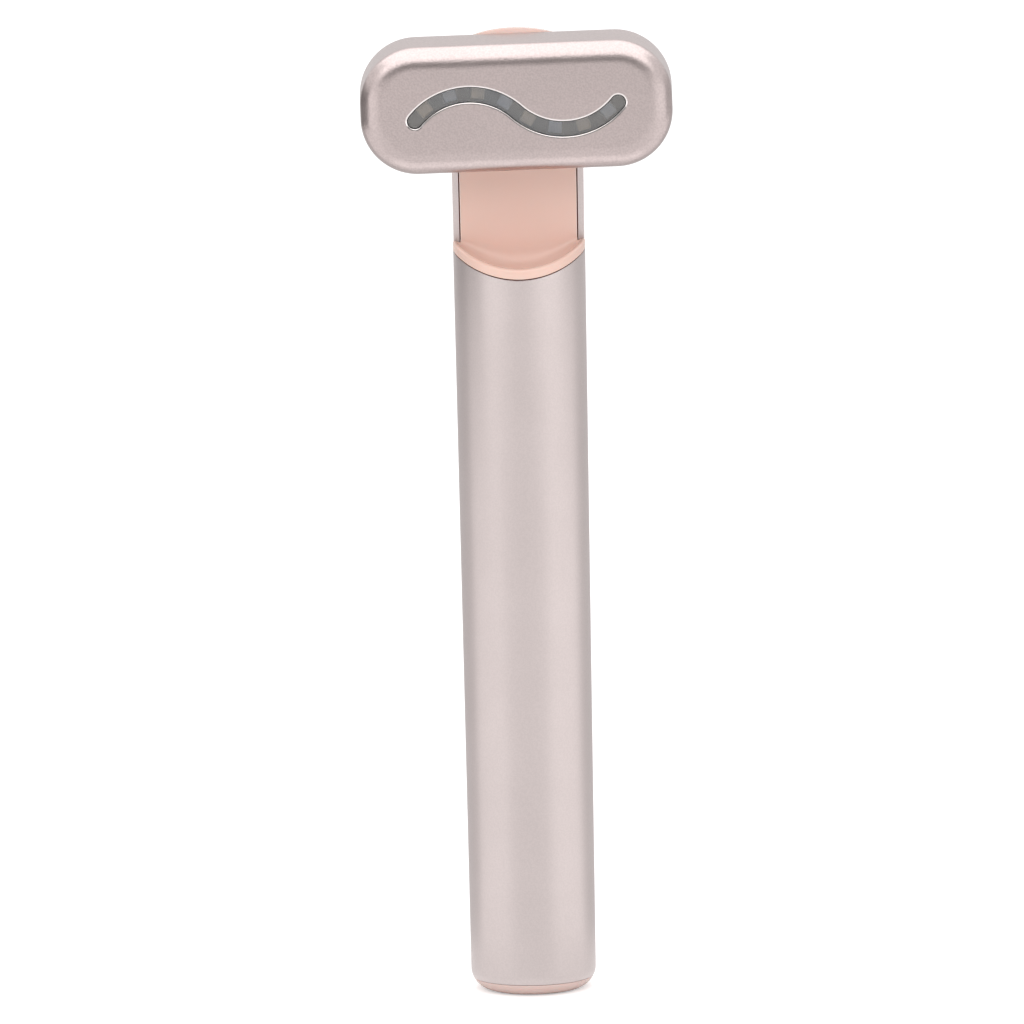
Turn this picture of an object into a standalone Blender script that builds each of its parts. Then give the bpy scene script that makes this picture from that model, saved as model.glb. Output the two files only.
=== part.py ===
"""A heated eye massager wand, in metres with +Z up.

The handle stands on its base at the origin. The head's face looks along -Y, and +X is to the right of
someone who looks at that face. The head turns about an axis along Y through the top of the handle.
"""

import math

import bmesh
import bpy
from mathutils import Matrix, Vector

MM = 0.001

# Clearances
GAP = 0.3 * MM
RUNNING_GAP = 0.08 * MM
SWEEP_GAP = 0.4 * MM
SCOOP_GAP = 1.4 * MM
CUT_OVERRUN = 2.0 * MM
MERGE_DISTANCE = 0.01 * MM
WELD_DISTANCE = 0.001 * MM

# Handle tube
HANDLE_BASE_RADIUS = 10.9 * MM
HANDLE_TAPER_SHARE = 0.005
TUBE_WALL = 1.1 * MM
BASE_EDGE_ROUND = 3.8 * MM
NECK_FACE_Y = 1.4 * MM
SCOOP_RADIUS = 18.45 * MM

# Pivot
PIVOT_Z = 158.2 * MM
NECK_RISE = 7.0 * MM
HEAD_REST_TURN = math.radians(1.1)

# Neck panel, its lip and the dome over it
PANEL_THICKNESS = 1.5 * MM
LIP_HEIGHT = 1.75 * MM
LIP_WIDTH = 1.3 * MM
LIP_STEP = 0.5 * MM
FLOOR_FILLET = 2.0 * MM
PLUG_DEPTH = 5.8 * MM
DOME_RISE = 5.0 * MM
DOME_WALL = 1.4 * MM

# Base cap and seal
BASE_CAP_RISE = 1.9 * MM
BASE_FLOOR = 1.6 * MM
SKIRT_TOP_Z = 7.2 * MM
SKIRT_WALL = 1.2 * MM
SEAL_HEIGHT = 1.0 * MM
SEAL_THICKNESS = 0.6 * MM
SEAL_Z = 4.6 * MM

# Charge port
PORT_WIDTH = 8.94 * MM
PORT_HEIGHT = 3.26 * MM
PORT_LENGTH = 7.35 * MM
PORT_WALL = 0.3 * MM
PORT_RECESS = 0.3 * MM
PORT_SLOT_GAP = 0.22 * MM
TONGUE_WIDTH = 6.6 * MM
TONGUE_THICKNESS = 0.7 * MM
TONGUE_RECESS = 0.9 * MM
TONGUE_ROOT = 1.4 * MM

# Main board and what it carries
BOARD_WIDTH = 15.0 * MM
BOARD_THICKNESS = 1.0 * MM
BOARD_END_GAP = 2.5 * MM
CONTROL_CHIP = (6.0 * MM, 6.0 * MM, 0.9 * MM)
CHARGE_CHIP = (3.0 * MM, 3.0 * MM, 0.8 * MM)
INDUCTOR = (4.0 * MM, 4.0 * MM, 2.0 * MM)
CAPACITOR_RADIUS = 1.6 * MM
CAPACITOR_LENGTH = 5.4 * MM
CHIP_SPACING = 8.5 * MM
PACKAGE_EDGE = 0.15 * MM
CONTACT_WIRE_RADIUS = 0.35 * MM
CONTACT_FOOT = 4.0 * MM
CONTACT_RISE = 6.0 * MM

# Battery
CELL_RADIUS = 5.2 * MM
CELL_LENGTH = 44.0 * MM
CELL_EDGE = 0.6 * MM
CELL_NUB_RADIUS = 1.9 * MM
CELL_NUB_RISE = 0.8 * MM
CELL_BOTTOM_Z = 17.0 * MM
TAB_SIDE = 4.4 * MM
TAB_THICKNESS = 0.25 * MM
TAB_CORNER = 0.5 * MM
LEAD_RADIUS = 0.55 * MM

# Carrier and power button
CARRIER_WALL = 1.2 * MM
CARRIER_TOP_GAP = 2.0 * MM
SWITCH_SIDE = 6.0 * MM
SWITCH_HEIGHT = 3.4 * MM
SWITCH_STEM_RADIUS = 1.7 * MM
SWITCH_STEM_DEPTH = 1.1 * MM
SWITCH_TOP_GAP = 1.0 * MM
BUTTON_RADIUS = 3.8 * MM
BUTTON_PROUD = 0.5 * MM
BUTTON_EDGE = 0.35 * MM
BUTTON_TRAVEL = 0.5 * MM
BUTTON_CAP_LENGTH = 3.1 * MM
BUTTON_FLANGE = 0.8 * MM
BUTTON_FLANGE_THICKNESS = 0.8 * MM
BUTTON_STEM_RADIUS = 1.2 * MM
BEZEL_WALL = 0.9 * MM
BEZEL_PROUD = 0.25 * MM
BEZEL_EDGE = 0.2 * MM

# Head shell and back cover
HEAD_WIDTH = 54.5 * MM
HEAD_HEIGHT = 22.5 * MM
HEAD_DEPTH = 14.5 * MM
HEAD_END_FLAT = 2.6 * MM
HEAD_FRONT_ROUND = 3.2 * MM
HEAD_BACK_ROUND = 0.8 * MM
HEAD_WALL = 1.2 * MM
COVER_THICKNESS = 2.0 * MM

# Curved light slot, in the face's plane about the head's centre
SLOT_WIDTH = 2.8 * MM
SLOT_DROP = 0.45 * MM
SLOT_SWING_INSET = 10.41 * MM
SLOT_CREST_INSET = 7.91 * MM
SLOT_TAIL = 1.37 * MM
WINDOW_GAP = 0.12 * MM
WINDOW_RECESS = 0.15 * MM
WINDOW_FLANGE = 0.9 * MM
WINDOW_FLANGE_THICKNESS = 0.7 * MM

# Light board, its lights and the heater behind the face
LIGHT_COUNT = 8
LIGHT_SIZE = (2.4 * MM, 2.0 * MM, 0.8 * MM)
LIGHT_BOARD_MARGIN = 1.6 * MM
LIGHT_BOARD_THICKNESS = 0.8 * MM
HEATER_THICKNESS = 0.4 * MM
HEATER_MARGIN = 1.1 * MM
THERMISTOR = (2.0 * MM, 1.2 * MM, 0.8 * MM)
BOSS_END_INSET = 7.75 * MM
BOSS_SIDE_INSET = 4.95 * MM
BOSS_RADIUS = 1.7 * MM
BOARD_SCREW_RADIUS = 0.5 * MM
BOARD_SCREW_HEAD_RADIUS = 1.1 * MM
BOARD_SCREW_HEAD = 0.6 * MM
BOARD_SCREW_BITE = 1.1 * MM

# Vibration motor
MOTOR_RADIUS = 2.0 * MM
MOTOR_LENGTH = 8.0 * MM
MOTOR_START_X = 8.6 * MM
SLEEVE_WALL = 0.5 * MM
SLEEVE_LENGTH = 5.0 * MM
WEIGHT_RADIUS = 1.9 * MM
WEIGHT_LENGTH = 2.6 * MM
WEIGHT_HUB_RADIUS = 0.7 * MM
WEIGHT_COLLAR = 0.6 * MM

# Pivot spindle and what holds it
SPINDLE_RADIUS = 3.0 * MM
SPINDLE_BORE = 1.5 * MM
SPINDLE_FLANGE_RADIUS = 6.2 * MM
SPINDLE_FLANGE = 1.0 * MM
SPINDLE_END = 0.8 * MM
BUSH_WALL = 1.1 * MM
BUSH_FLANGE_RADIUS = 5.4 * MM
BUSH_FLANGE = 1.1 * MM
WASHER_RADIUS = 5.2 * MM
WASHER_THICKNESS = 0.5 * MM
CLIP_THICKNESS = 0.6 * MM
CLIP_GROOVE = 0.6 * MM
CLIP_MOUTH = 3.2 * MM
SPINDLE_SCREWS = 3
SCREW_CIRCLE_RADIUS = 4.6 * MM
SCREW_RADIUS = 0.45 * MM
SCREW_HEAD_RADIUS = 0.95 * MM
SCREW_HEAD = 0.5 * MM
SCREW_BITE = 1.1 * MM

# Lead from the handle into the head
HEAD_LEAD_RADIUS = 0.9 * MM
HEAD_LEAD_BEND = 3.0 * MM
HEAD_LEAD_END_GAP = 1.0 * MM
HEAD_LEAD_OFFSET = 5.4 * MM

# Roundness
TURN_STEPS = 64
RING_STEPS = 32
SMALL_STEPS = 16
SCREW_STEPS = 12
ARC_STEPS = 6
EDGE_STEPS = 4
BACK_EDGE_STEPS = 2
FINE_ARC_STEPS = 14
NO_TURN = (0.0, 0.0, 0.0)
FACE_FORWARD = (math.pi / 2, 0.0, 0.0)
FACE_BACK = (-math.pi / 2, 0.0, 0.0)
FACE_RIGHT = (0.0, math.pi / 2, 0.0)
SHARP_ANGLE = math.radians(30)
FLAT_ANGLE = math.radians(1)
ROUND_PROFILE_SHARE = 0.5

# Places that follow from the sizes above
HEAD_BACK_Y = NECK_FACE_Y - SWEEP_GAP
HEAD_FRONT_Y = HEAD_BACK_Y - HEAD_DEPTH
HEAD_FLOOR_Y = HEAD_FRONT_Y + HEAD_WALL
COVER_FRONT_Y = HEAD_BACK_Y - COVER_THICKNESS
HEAD_CORNER_RADIUS = (HEAD_HEIGHT - HEAD_END_FLAT) / 2
HEAD_SWEEP_RADIUS = HEAD_CORNER_RADIUS + math.hypot(
    HEAD_WIDTH / 2 - HEAD_CORNER_RADIUS, HEAD_HEIGHT / 2 - HEAD_CORNER_RADIUS
)
LIP_TOP_Z = PIVOT_Z - HEAD_SWEEP_RADIUS - SCOOP_GAP
SCOOP_CENTRE_Z = LIP_TOP_Z + SCOOP_RADIUS
PLUG_BOTTOM_Z = LIP_TOP_Z - PLUG_DEPTH
DOME_Z = PIVOT_Z + NECK_RISE
TUBE_TOP_Z = DOME_Z - GAP
TUBE_BOTTOM_Z = BASE_CAP_RISE + GAP
PANEL_BACK_Y = NECK_FACE_Y + PANEL_THICKNESS
BOARD_FRONT_Y = PORT_HEIGHT / 2 + GAP
BOARD_BACK_Y = BOARD_FRONT_Y + BOARD_THICKNESS
BOARD_BOTTOM_Z = BASE_FLOOR + GAP
BOARD_TOP_Z = PLUG_BOTTOM_Z - BOARD_END_GAP
CELL_Y = BOARD_FRONT_Y - GAP - CELL_RADIUS
CELL_TOP_Z = CELL_BOTTOM_Z + CELL_LENGTH
BUTTON_Z = BOARD_TOP_Z - SWITCH_TOP_GAP - SWITCH_SIDE / 2
BEZEL_BORE_RADIUS = BUTTON_RADIUS + GAP
BEZEL_RADIUS = BEZEL_BORE_RADIUS + BEZEL_WALL
SLOT_SWING = HEAD_WIDTH / 2 - SLOT_SWING_INSET
SLOT_CREST = HEAD_HEIGHT / 2 - SLOT_CREST_INSET
SLOT_MIDDLE_SLOPE = 2 * math.atan(2 * SLOT_CREST / SLOT_SWING)
SLOT_ARC_RADIUS = SLOT_SWING / (2 * math.sin(SLOT_MIDDLE_SLOPE))
SLOT_ARC_ANGLE = 2 * SLOT_MIDDLE_SLOPE + SLOT_TAIL / SLOT_ARC_RADIUS
LIGHT_PITCH = 2 * SLOT_ARC_RADIUS * SLOT_ARC_ANGLE / LIGHT_COUNT
BOSS_X = HEAD_WIDTH / 2 - BOSS_END_INSET
BOSS_Z = HEAD_HEIGHT / 2 - BOSS_SIDE_INSET
WINDOW_FLANGE_FRONT_Y = HEAD_FLOOR_Y + GAP
WINDOW_BACK_Y = WINDOW_FLANGE_FRONT_Y + WINDOW_FLANGE_THICKNESS
LIGHT_BOARD_FRONT_Y = WINDOW_BACK_Y + 2 * GAP + LIGHT_SIZE[2]
LIGHT_BOARD_BACK_Y = LIGHT_BOARD_FRONT_Y + LIGHT_BOARD_THICKNESS
SLEEVE_RADIUS = MOTOR_RADIUS + GAP + SLEEVE_WALL
MOTOR_Y = LIGHT_BOARD_BACK_Y + GAP + SLEEVE_RADIUS
MOTOR_END_X = MOTOR_START_X + MOTOR_LENGTH
SPINDLE_FLANGE_FRONT_Y = COVER_FRONT_Y - GAP - SPINDLE_FLANGE
BUSH_BORE_RADIUS = SPINDLE_RADIUS + RUNNING_GAP
BUSH_RADIUS = BUSH_BORE_RADIUS + BUSH_WALL
BUSH_FLANGE_FRONT_Y = PANEL_BACK_Y + GAP
BUSH_BACK_Y = BUSH_FLANGE_FRONT_Y + BUSH_FLANGE
FRICTION_WASHER_Y = BUSH_BACK_Y + GAP
WAVE_WASHER_Y = FRICTION_WASHER_Y + WASHER_THICKNESS + GAP
CLIP_Y = WAVE_WASHER_Y + WASHER_THICKNESS + GAP
SPINDLE_BACK_Y = CLIP_Y + CLIP_THICKNESS + GAP + SPINDLE_END


def handle_radius(z):
    """The handle's outer radius at a height, with the rounded edge at its base."""
    straight = HANDLE_BASE_RADIUS + HANDLE_TAPER_SHARE * z
    if z >= BASE_EDGE_ROUND:
        return straight
    below = BASE_EDGE_ROUND - z
    return straight - BASE_EDGE_ROUND + math.sqrt(BASE_EDGE_ROUND**2 - below**2)


def bore_radius(z):
    """The tube's inner radius at a height."""
    return HANDLE_BASE_RADIUS + HANDLE_TAPER_SHARE * z - TUBE_WALL


def linear(value):
    """One sRGB channel, 0 to 255, as the linear value that a shader takes."""
    share = value / 255
    return share / 12.92 if share <= 0.04045 else ((share + 0.055) / 1.055) ** 2.4


def make_material(name, colour, roughness, metallic=0.0, transmission=0.0):
    material = bpy.data.materials.new(name)
    material.use_nodes = True
    shader = material.node_tree.nodes["Principled BSDF"]
    shader.inputs["Base Color"].default_value = (*(linear(c) for c in colour), 1.0)
    shader.inputs["Roughness"].default_value = roughness
    shader.inputs["Metallic"].default_value = metallic
    shader.inputs["Transmission Weight"].default_value = transmission
    return material


def clear_scene():
    for item in list(bpy.data.objects):
        bpy.data.objects.remove(item, do_unlink=True)


def make_collection(name):
    collection = bpy.data.collections.new(name)
    bpy.context.scene.collection.children.link(collection)
    return collection


clear_scene()
PARTS = make_collection("heated_eye_massager_wand")
CUTTERS = make_collection("cutters")

ROSE_METAL = make_material("rose_anodised_aluminium", (214, 196, 193), 0.38, 0.9)
PEACH = make_material("peach_plastic", (230, 190, 176), 0.34)
SMOKY = make_material("smoky_window", (112, 118, 118), 0.18, 0.0, 0.5)
BOARD_GREEN = make_material("circuit_board", (34, 84, 58), 0.5)
CHIP_BLACK = make_material("chip_package", (30, 30, 32), 0.55)
STEEL = make_material("steel", (176, 176, 178), 0.3, 1.0)
BRASS = make_material("brass", (190, 150, 84), 0.35, 1.0)
RUBBER = make_material("dark_rubber", (44, 43, 43), 0.8)
CELL_WRAP = make_material("cell_wrap", (78, 110, 140), 0.45)
LIGHT_BODY = make_material("light_package", (214, 205, 184), 0.4)
HEATER_FILM = make_material("heater_film", (150, 96, 40), 0.45)
CARRIER_WHITE = make_material("carrier_plastic", (206, 202, 196), 0.6)
LEAD_JACKET = make_material("lead_jacket", (150, 52, 48), 0.55)


def finish(item, name, material, cutter=False):
    """Name an object, give it its material, and file it as a sub-part or as a cutter."""
    item.name = name
    item.data.name = name
    for collection in list(item.users_collection):
        collection.objects.unlink(item)
    (CUTTERS if cutter else PARTS).objects.link(item)
    item.data.materials.clear()
    if cutter:
        item.hide_render = True
        item.display_type = "WIRE"
    else:
        item.data.materials.append(material)
        item.data.shade_smooth()
        item.data.set_sharp_from_angle(angle=SHARP_ANGLE)
    return item


def turned(name, profile, material=None, closed=False, steps=TURN_STEPS):
    """A profile of (radius, height) points turned about Z. It runs down its outer side."""
    mesh = bpy.data.meshes.new(name)
    points = [(radius, 0.0, height) for radius, height in profile]
    edges = [(i, i + 1) for i in range(len(points) - 1)]
    if closed:
        edges.append((len(points) - 1, 0))
    mesh.from_pydata(points, edges, [])
    item = bpy.data.objects.new(name, mesh)
    CUTTERS.objects.link(item)
    screw = item.modifiers.new("turn", "SCREW")
    screw.steps = steps
    screw.render_steps = steps
    screw.use_merge_vertices = True
    screw.merge_threshold = MERGE_DISTANCE
    return finish(item, name, material, cutter=material is None)


def ring_profile(outer, inner, low, high):
    return [(outer, high), (outer, low), (inner, low), (inner, high)]


def cylinder(name, radius, low, high, material=None, top_radius=None, steps=SMALL_STEPS):
    """A cylinder or a cone along Z between two heights."""
    mesh = bpy.data.meshes.new(name)
    work = bmesh.new()
    bmesh.ops.create_cone(
        work,
        cap_ends=True,
        segments=steps,
        radius1=radius,
        radius2=radius if top_radius is None else top_radius,
        depth=high - low,
    )
    bmesh.ops.translate(work, verts=work.verts, vec=(0.0, 0.0, (low + high) / 2))
    work.to_mesh(mesh)
    work.free()
    item = bpy.data.objects.new(name, mesh)
    CUTTERS.objects.link(item)
    return finish(item, name, material, cutter=material is None)


def block(name, low, high, material=None, edge=0.0):
    """A box between two corners, with its edges bevelled."""
    low, high = Vector(low), Vector(high)
    mesh = bpy.data.meshes.new(name)
    work = bmesh.new()
    bmesh.ops.create_cube(work, size=1.0)
    bmesh.ops.scale(work, verts=work.verts, vec=high - low)
    bmesh.ops.translate(work, verts=work.verts, vec=(low + high) / 2)
    work.to_mesh(mesh)
    work.free()
    item = bpy.data.objects.new(name, mesh)
    CUTTERS.objects.link(item)
    if edge:
        bevel = item.modifiers.new("edges", "BEVEL")
        bevel.width = edge
        bevel.segments = 1
    return finish(item, name, material, cutter=material is None)


def curve_to_mesh(name, data):
    """A curve made into a closed mesh object."""
    guide = bpy.data.objects.new(name, data)
    CUTTERS.objects.link(guide)
    bpy.context.view_layer.update()
    mesh = bpy.data.meshes.new_from_object(guide.evaluated_get(bpy.context.evaluated_depsgraph_get()))
    work = bmesh.new()
    work.from_mesh(mesh)
    bmesh.ops.remove_doubles(work, verts=work.verts, dist=WELD_DISTANCE)
    bmesh.ops.recalc_face_normals(work, faces=work.faces)
    work.to_mesh(mesh)
    work.free()
    bpy.data.objects.remove(guide, do_unlink=True)
    item = bpy.data.objects.new(name, mesh)
    CUTTERS.objects.link(item)
    return item


def flat_solid(name, outline, low, high, material=None):
    """A closed outline in X and Y, given a thickness between two heights on Z."""
    data = bpy.data.curves.new(name, "CURVE")
    data.dimensions = "2D"
    data.fill_mode = "BOTH"
    data.extrude = (high - low) / 2
    spline = data.splines.new("POLY")
    spline.points.add(len(outline) - 1)
    spline.use_cyclic_u = True
    for point, (x, y) in zip(spline.points, outline):
        point.co = (x, y, 0.0, 1.0)
    item = curve_to_mesh(name, data)
    item.data.transform(Matrix.Translation((0.0, 0.0, (low + high) / 2)))
    return finish(item, name, material, cutter=material is None)


def soften_rims(item, rims):
    """Round the rims of a flat solid. Each rim is a height with its radius and its steps."""
    work = bmesh.new()
    work.from_mesh(item.data)
    bmesh.ops.dissolve_limit(work, angle_limit=FLAT_ANGLE, verts=work.verts, edges=work.edges)
    for height, (radius, steps) in rims.items():
        edges = [
            edge for edge in work.edges if all(abs(v.co.z - height) < WELD_DISTANCE for v in edge.verts)
        ]
        bmesh.ops.bevel(
            work, geom=edges, offset=radius, segments=steps, profile=ROUND_PROFILE_SHARE, affect="EDGES"
        )
    work.to_mesh(item.data)
    work.free()


def wire(name, points, radius, material):
    """A round wire through points, with filled ends."""
    data = bpy.data.curves.new(name, "CURVE")
    data.dimensions = "3D"
    data.bevel_depth = radius
    data.bevel_resolution = 2
    data.use_fill_caps = True
    spline = data.splines.new("POLY")
    spline.points.add(len(points) - 1)
    for point, place in zip(spline.points, points):
        point.co = (*place, 1.0)
    return finish(curve_to_mesh(name, data), name, material)


def arc(centre, radius, start, end, steps):
    """Points along an arc, both ends included."""
    angles = [start + (end - start) * i / steps for i in range(steps + 1)]
    return [(centre[0] + radius * math.cos(a), centre[1] + radius * math.sin(a)) for a in angles]


def rounded_rectangle(width, height, radius, steps=ARC_STEPS):
    x = width / 2 - radius
    y = height / 2 - radius
    points = []
    for quarter, corner in enumerate(((x, y), (-x, y), (-x, -y), (x, -y))):
        start = quarter * math.pi / 2
        points += arc(corner, radius, start, start + math.pi / 2, steps)
    return points


def combine(item, operation, *others):
    """Add live Booleans to an object, one for each other object."""
    for other in others:
        boolean = item.modifiers.new(other.name, "BOOLEAN")
        boolean.operation = operation
        boolean.solver = "EXACT"
        boolean.object = other
    return item


def place(item, location=(0.0, 0.0, 0.0), rotation=NO_TURN, parent=None):
    item.location = location
    item.rotation_euler = rotation
    item.parent = parent
    return item


def make_empty(name, location, rotation=NO_TURN):
    empty = bpy.data.objects.new(name, None)
    empty.location = location
    empty.rotation_euler = rotation
    empty.hide_render = True
    CUTTERS.objects.link(empty)
    return empty


HEAD_PIVOT = make_empty("head_pivot", (0.0, 0.0, PIVOT_Z), (0.0, -HEAD_REST_TURN, 0.0))


def on_head(item, x=0.0, z=0.0):
    """Stand a piece that was made along Z on the head, with its top towards the face."""
    return place(item, (x, 0.0, z), FACE_FORWARD, HEAD_PIVOT)


def head_slab(name, outline, front, back, material=None):
    """A flat outline on the head between two depths on Y."""
    return on_head(flat_solid(name, outline, -back, -front, material))


def head_disc(name, radius, front, back, material=None, x=0.0, z=0.0, steps=SCREW_STEPS):
    """A round piece on the head, along Y."""
    return on_head(cylinder(name, radius, -back, -front, material, steps=steps), x, z)


def scoop_outline(centre_z, radius):
    """The region over a round bowl, as wide as the handle, in X and Z."""
    half = handle_radius(TUBE_TOP_Z) + CUT_OVERRUN
    reach = math.asin(half / radius)
    bowl = arc((0.0, centre_z), radius, -math.pi / 2 - reach, -math.pi / 2 + reach, FINE_ARC_STEPS)
    top = DOME_Z + DOME_RISE + CUT_OVERRUN
    return bowl + [(half, top), (-half, top)]


def scoop_solid(name, radius, back, centre_z=SCOOP_CENTRE_Z, back_round=0.0):
    """A cutter over a bowl, from in front of the handle back to a depth on Y."""
    front = -handle_radius(TUBE_TOP_Z) - CUT_OVERRUN
    solid = flat_solid(name, scoop_outline(centre_z, radius), -back, -front)
    if back_round:
        soften_rims(solid, {-back: (back_round, EDGE_STEPS)})
    return place(solid, rotation=FACE_FORWARD)


def slot_path(steps):
    """The slot's centre line from its left end to its right end, as places and headings."""
    half = []
    for i in range(steps + 1):
        heading = SLOT_MIDDLE_SLOPE - SLOT_ARC_ANGLE * i / steps
        x = SLOT_ARC_RADIUS * (math.sin(SLOT_MIDDLE_SLOPE) - math.sin(heading))
        z = SLOT_ARC_RADIUS * (math.cos(heading) - math.cos(SLOT_MIDDLE_SLOPE))
        half.append((x, z, heading))
    left = [((-x, z - SLOT_DROP), -heading) for x, z, heading in reversed(half)]
    right = [((x, -z - SLOT_DROP), -heading) for x, z, heading in half[1:]]
    return left + right


def slot_outline(half_width):
    """A band of one width along the slot's centre line, with round ends."""
    path = slot_path(FINE_ARC_STEPS)
    upper = [
        (x - half_width * math.sin(turn), z + half_width * math.cos(turn)) for (x, z), turn in path
    ]
    lower = [
        (x + half_width * math.sin(turn), z - half_width * math.cos(turn)) for (x, z), turn in path
    ]
    (first, first_turn), (last, last_turn) = path[0], path[-1]
    right_end = arc(last, half_width, last_turn + math.pi / 2, last_turn - math.pi / 2, ARC_STEPS)
    left_end = arc(first, half_width, first_turn - math.pi / 2, first_turn - 3 * math.pi / 2, ARC_STEPS)
    return upper + right_end[1:-1] + list(reversed(lower)) + left_end[1:-1]


def tube_profile():
    steps = EDGE_STEPS
    heights = [BASE_EDGE_ROUND + (TUBE_BOTTOM_Z - BASE_EDGE_ROUND) * i / steps for i in range(steps + 1)]
    outer = [(handle_radius(TUBE_TOP_Z), TUBE_TOP_Z)] + [(handle_radius(z), z) for z in heights]
    inner = [(bore_radius(TUBE_BOTTOM_Z), TUBE_BOTTOM_Z), (bore_radius(TUBE_TOP_Z), TUBE_TOP_Z)]
    return outer + inner


def make_handle_tube():
    tube = turned("handle_tube", tube_profile(), ROSE_METAL, closed=True)
    scoop = scoop_solid("tube_scoop", SCOOP_RADIUS + LIP_HEIGHT + GAP, NECK_FACE_Y)
    hole = cylinder("button_hole", BEZEL_RADIUS + GAP, 0.0, handle_radius(BUTTON_Z) + CUT_OVERRUN)
    place(hole, (0.0, 0.0, BUTTON_Z), FACE_BACK)
    combine(tube, "DIFFERENCE", scoop, hole)


def front_and_back(name, split_y, low, high, front):
    """A box that covers all of the handle in front of, or behind, a depth on Y."""
    reach = handle_radius(high) + CUT_OVERRUN
    near, far = (-reach, split_y) if front else (split_y, reach)
    return block(name, (-reach, near, low), (reach, far, high))


def make_neck_panel():
    """The panel, the plug under it in the front of the tube, and the lip along the tube's cut."""
    high = LIP_TOP_Z + SCOOP_RADIUS
    panel = cylinder(
        "neck_panel",
        bore_radius(PLUG_BOTTOM_Z) - GAP,
        PLUG_BOTTOM_Z,
        TUBE_TOP_Z,
        PEACH,
        bore_radius(TUBE_TOP_Z) - GAP,
        TURN_STEPS,
    )
    behind = front_and_back("behind_panel", PANEL_BACK_Y, PLUG_BOTTOM_Z - CUT_OVERRUN, DOME_Z, False)
    lip = cylinder(
        "lip_stock",
        handle_radius(PLUG_BOTTOM_Z),
        PLUG_BOTTOM_Z,
        high,
        None,
        handle_radius(high),
        TURN_STEPS,
    )
    lip_range = scoop_solid("lip_range", SCOOP_RADIUS + LIP_HEIGHT, NECK_FACE_Y - GAP)
    combine(lip, "INTERSECT", lip_range)
    rim = scoop_solid("rim_scoop", SCOOP_RADIUS, NECK_FACE_Y)
    sweep = scoop_solid("head_sweep", HEAD_SWEEP_RADIUS + SWEEP_GAP, NECK_FACE_Y, PIVOT_Z)
    floor = cylinder(
        "floor_recess",
        handle_radius(PLUG_BOTTOM_Z) - LIP_WIDTH,
        PLUG_BOTTOM_Z,
        high,
        None,
        handle_radius(high) - LIP_WIDTH,
        TURN_STEPS,
    )
    floor_range = scoop_solid(
        "floor_range", SCOOP_RADIUS + LIP_STEP, NECK_FACE_Y, back_round=FLOOR_FILLET
    )
    combine(floor, "INTERSECT", floor_range)
    hole = cylinder("bush_hole", BUSH_RADIUS + GAP, 0.0, PANEL_BACK_Y + CUT_OVERRUN, steps=RING_STEPS)
    place(hole, (0.0, 0.0, PIVOT_Z), FACE_BACK)
    combine(panel, "DIFFERENCE", behind)
    combine(panel, "UNION", lip)
    combine(panel, "DIFFERENCE", rim, sweep, floor, hole)


def dome_profile(radius, rise, skirt_radius, skirt_low):
    """A half ellipse over a skirt, turned into a closed dome."""
    angles = [math.pi / 2 * i / ARC_STEPS for i in range(ARC_STEPS + 1)]
    points = [(radius * math.sin(a), DOME_Z + rise * math.cos(a)) for a in angles]
    return points + [(skirt_radius, DOME_Z), (skirt_radius, skirt_low), (0.0, skirt_low)]


def make_neck_top_cap():
    """The half dome that closes the top of the handle behind the head."""
    radius = handle_radius(DOME_Z)
    skirt_radius = bore_radius(TUBE_TOP_Z) - GAP
    low = PIVOT_Z + BUSH_FLANGE_RADIUS + GAP
    cap = turned("neck_top_cap", dome_profile(radius, DOME_RISE, skirt_radius, low), PEACH)
    ahead = front_and_back("ahead_of_dome", NECK_FACE_Y, low - CUT_OVERRUN, DOME_Z + 2 * DOME_RISE, True)
    ahead_low = front_and_back("ahead_of_skirt", PANEL_BACK_Y + GAP, low - CUT_OVERRUN, DOME_Z, True)
    bore = skirt_radius - DOME_WALL
    hollow = turned(
        "dome_hollow", dome_profile(radius - DOME_WALL, DOME_RISE - DOME_WALL, bore, low - CUT_OVERRUN)
    )
    hollow_front = PANEL_BACK_Y + GAP + DOME_WALL
    front_wall = front_and_back(
        "dome_front_wall", hollow_front, low - 2 * CUT_OVERRUN, DOME_Z + 2 * DOME_RISE, True
    )
    combine(hollow, "DIFFERENCE", front_wall)
    combine(cap, "DIFFERENCE", ahead, ahead_low, hollow)


def make_base_cap():
    skirt = bore_radius(0.0) - GAP
    groove = skirt - SEAL_THICKNESS
    inside = skirt - SKIRT_WALL
    steps = EDGE_STEPS
    heights = [BASE_CAP_RISE * (1 - i / steps) for i in range(steps + 1)]
    profile = [(0.0, BASE_FLOOR), (inside, BASE_FLOOR), (inside, SKIRT_TOP_Z), (skirt, SKIRT_TOP_Z)]
    seal_top = SEAL_Z + SEAL_HEIGHT
    profile += [(skirt, seal_top), (groove, seal_top), (groove, SEAL_Z), (skirt, SEAL_Z)]
    profile += [(skirt, BASE_CAP_RISE)]
    profile += [(handle_radius(z), z) for z in heights]
    profile += [(0.0, 0.0)]
    cap = turned("base_cap", profile, PEACH)
    width = PORT_WIDTH + 2 * PORT_SLOT_GAP
    height = PORT_HEIGHT + 2 * PORT_SLOT_GAP
    outline = rounded_rectangle(width, height, height / 2)
    combine(cap, "DIFFERENCE", flat_solid("port_slot", outline, -CUT_OVERRUN, BASE_FLOOR + CUT_OVERRUN))


def make_base_seal():
    """The rubber ring in the base cap's groove."""
    outer = bore_radius(0.0) - GAP / 2
    inner = bore_radius(0.0) - GAP - SEAL_THICKNESS + GAP / 2
    turned(
        "base_seal_ring",
        ring_profile(outer, inner, SEAL_Z + GAP / 2, SEAL_Z + SEAL_HEIGHT - GAP / 2),
        RUBBER,
        closed=True,
        steps=RING_STEPS,
    )


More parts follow.
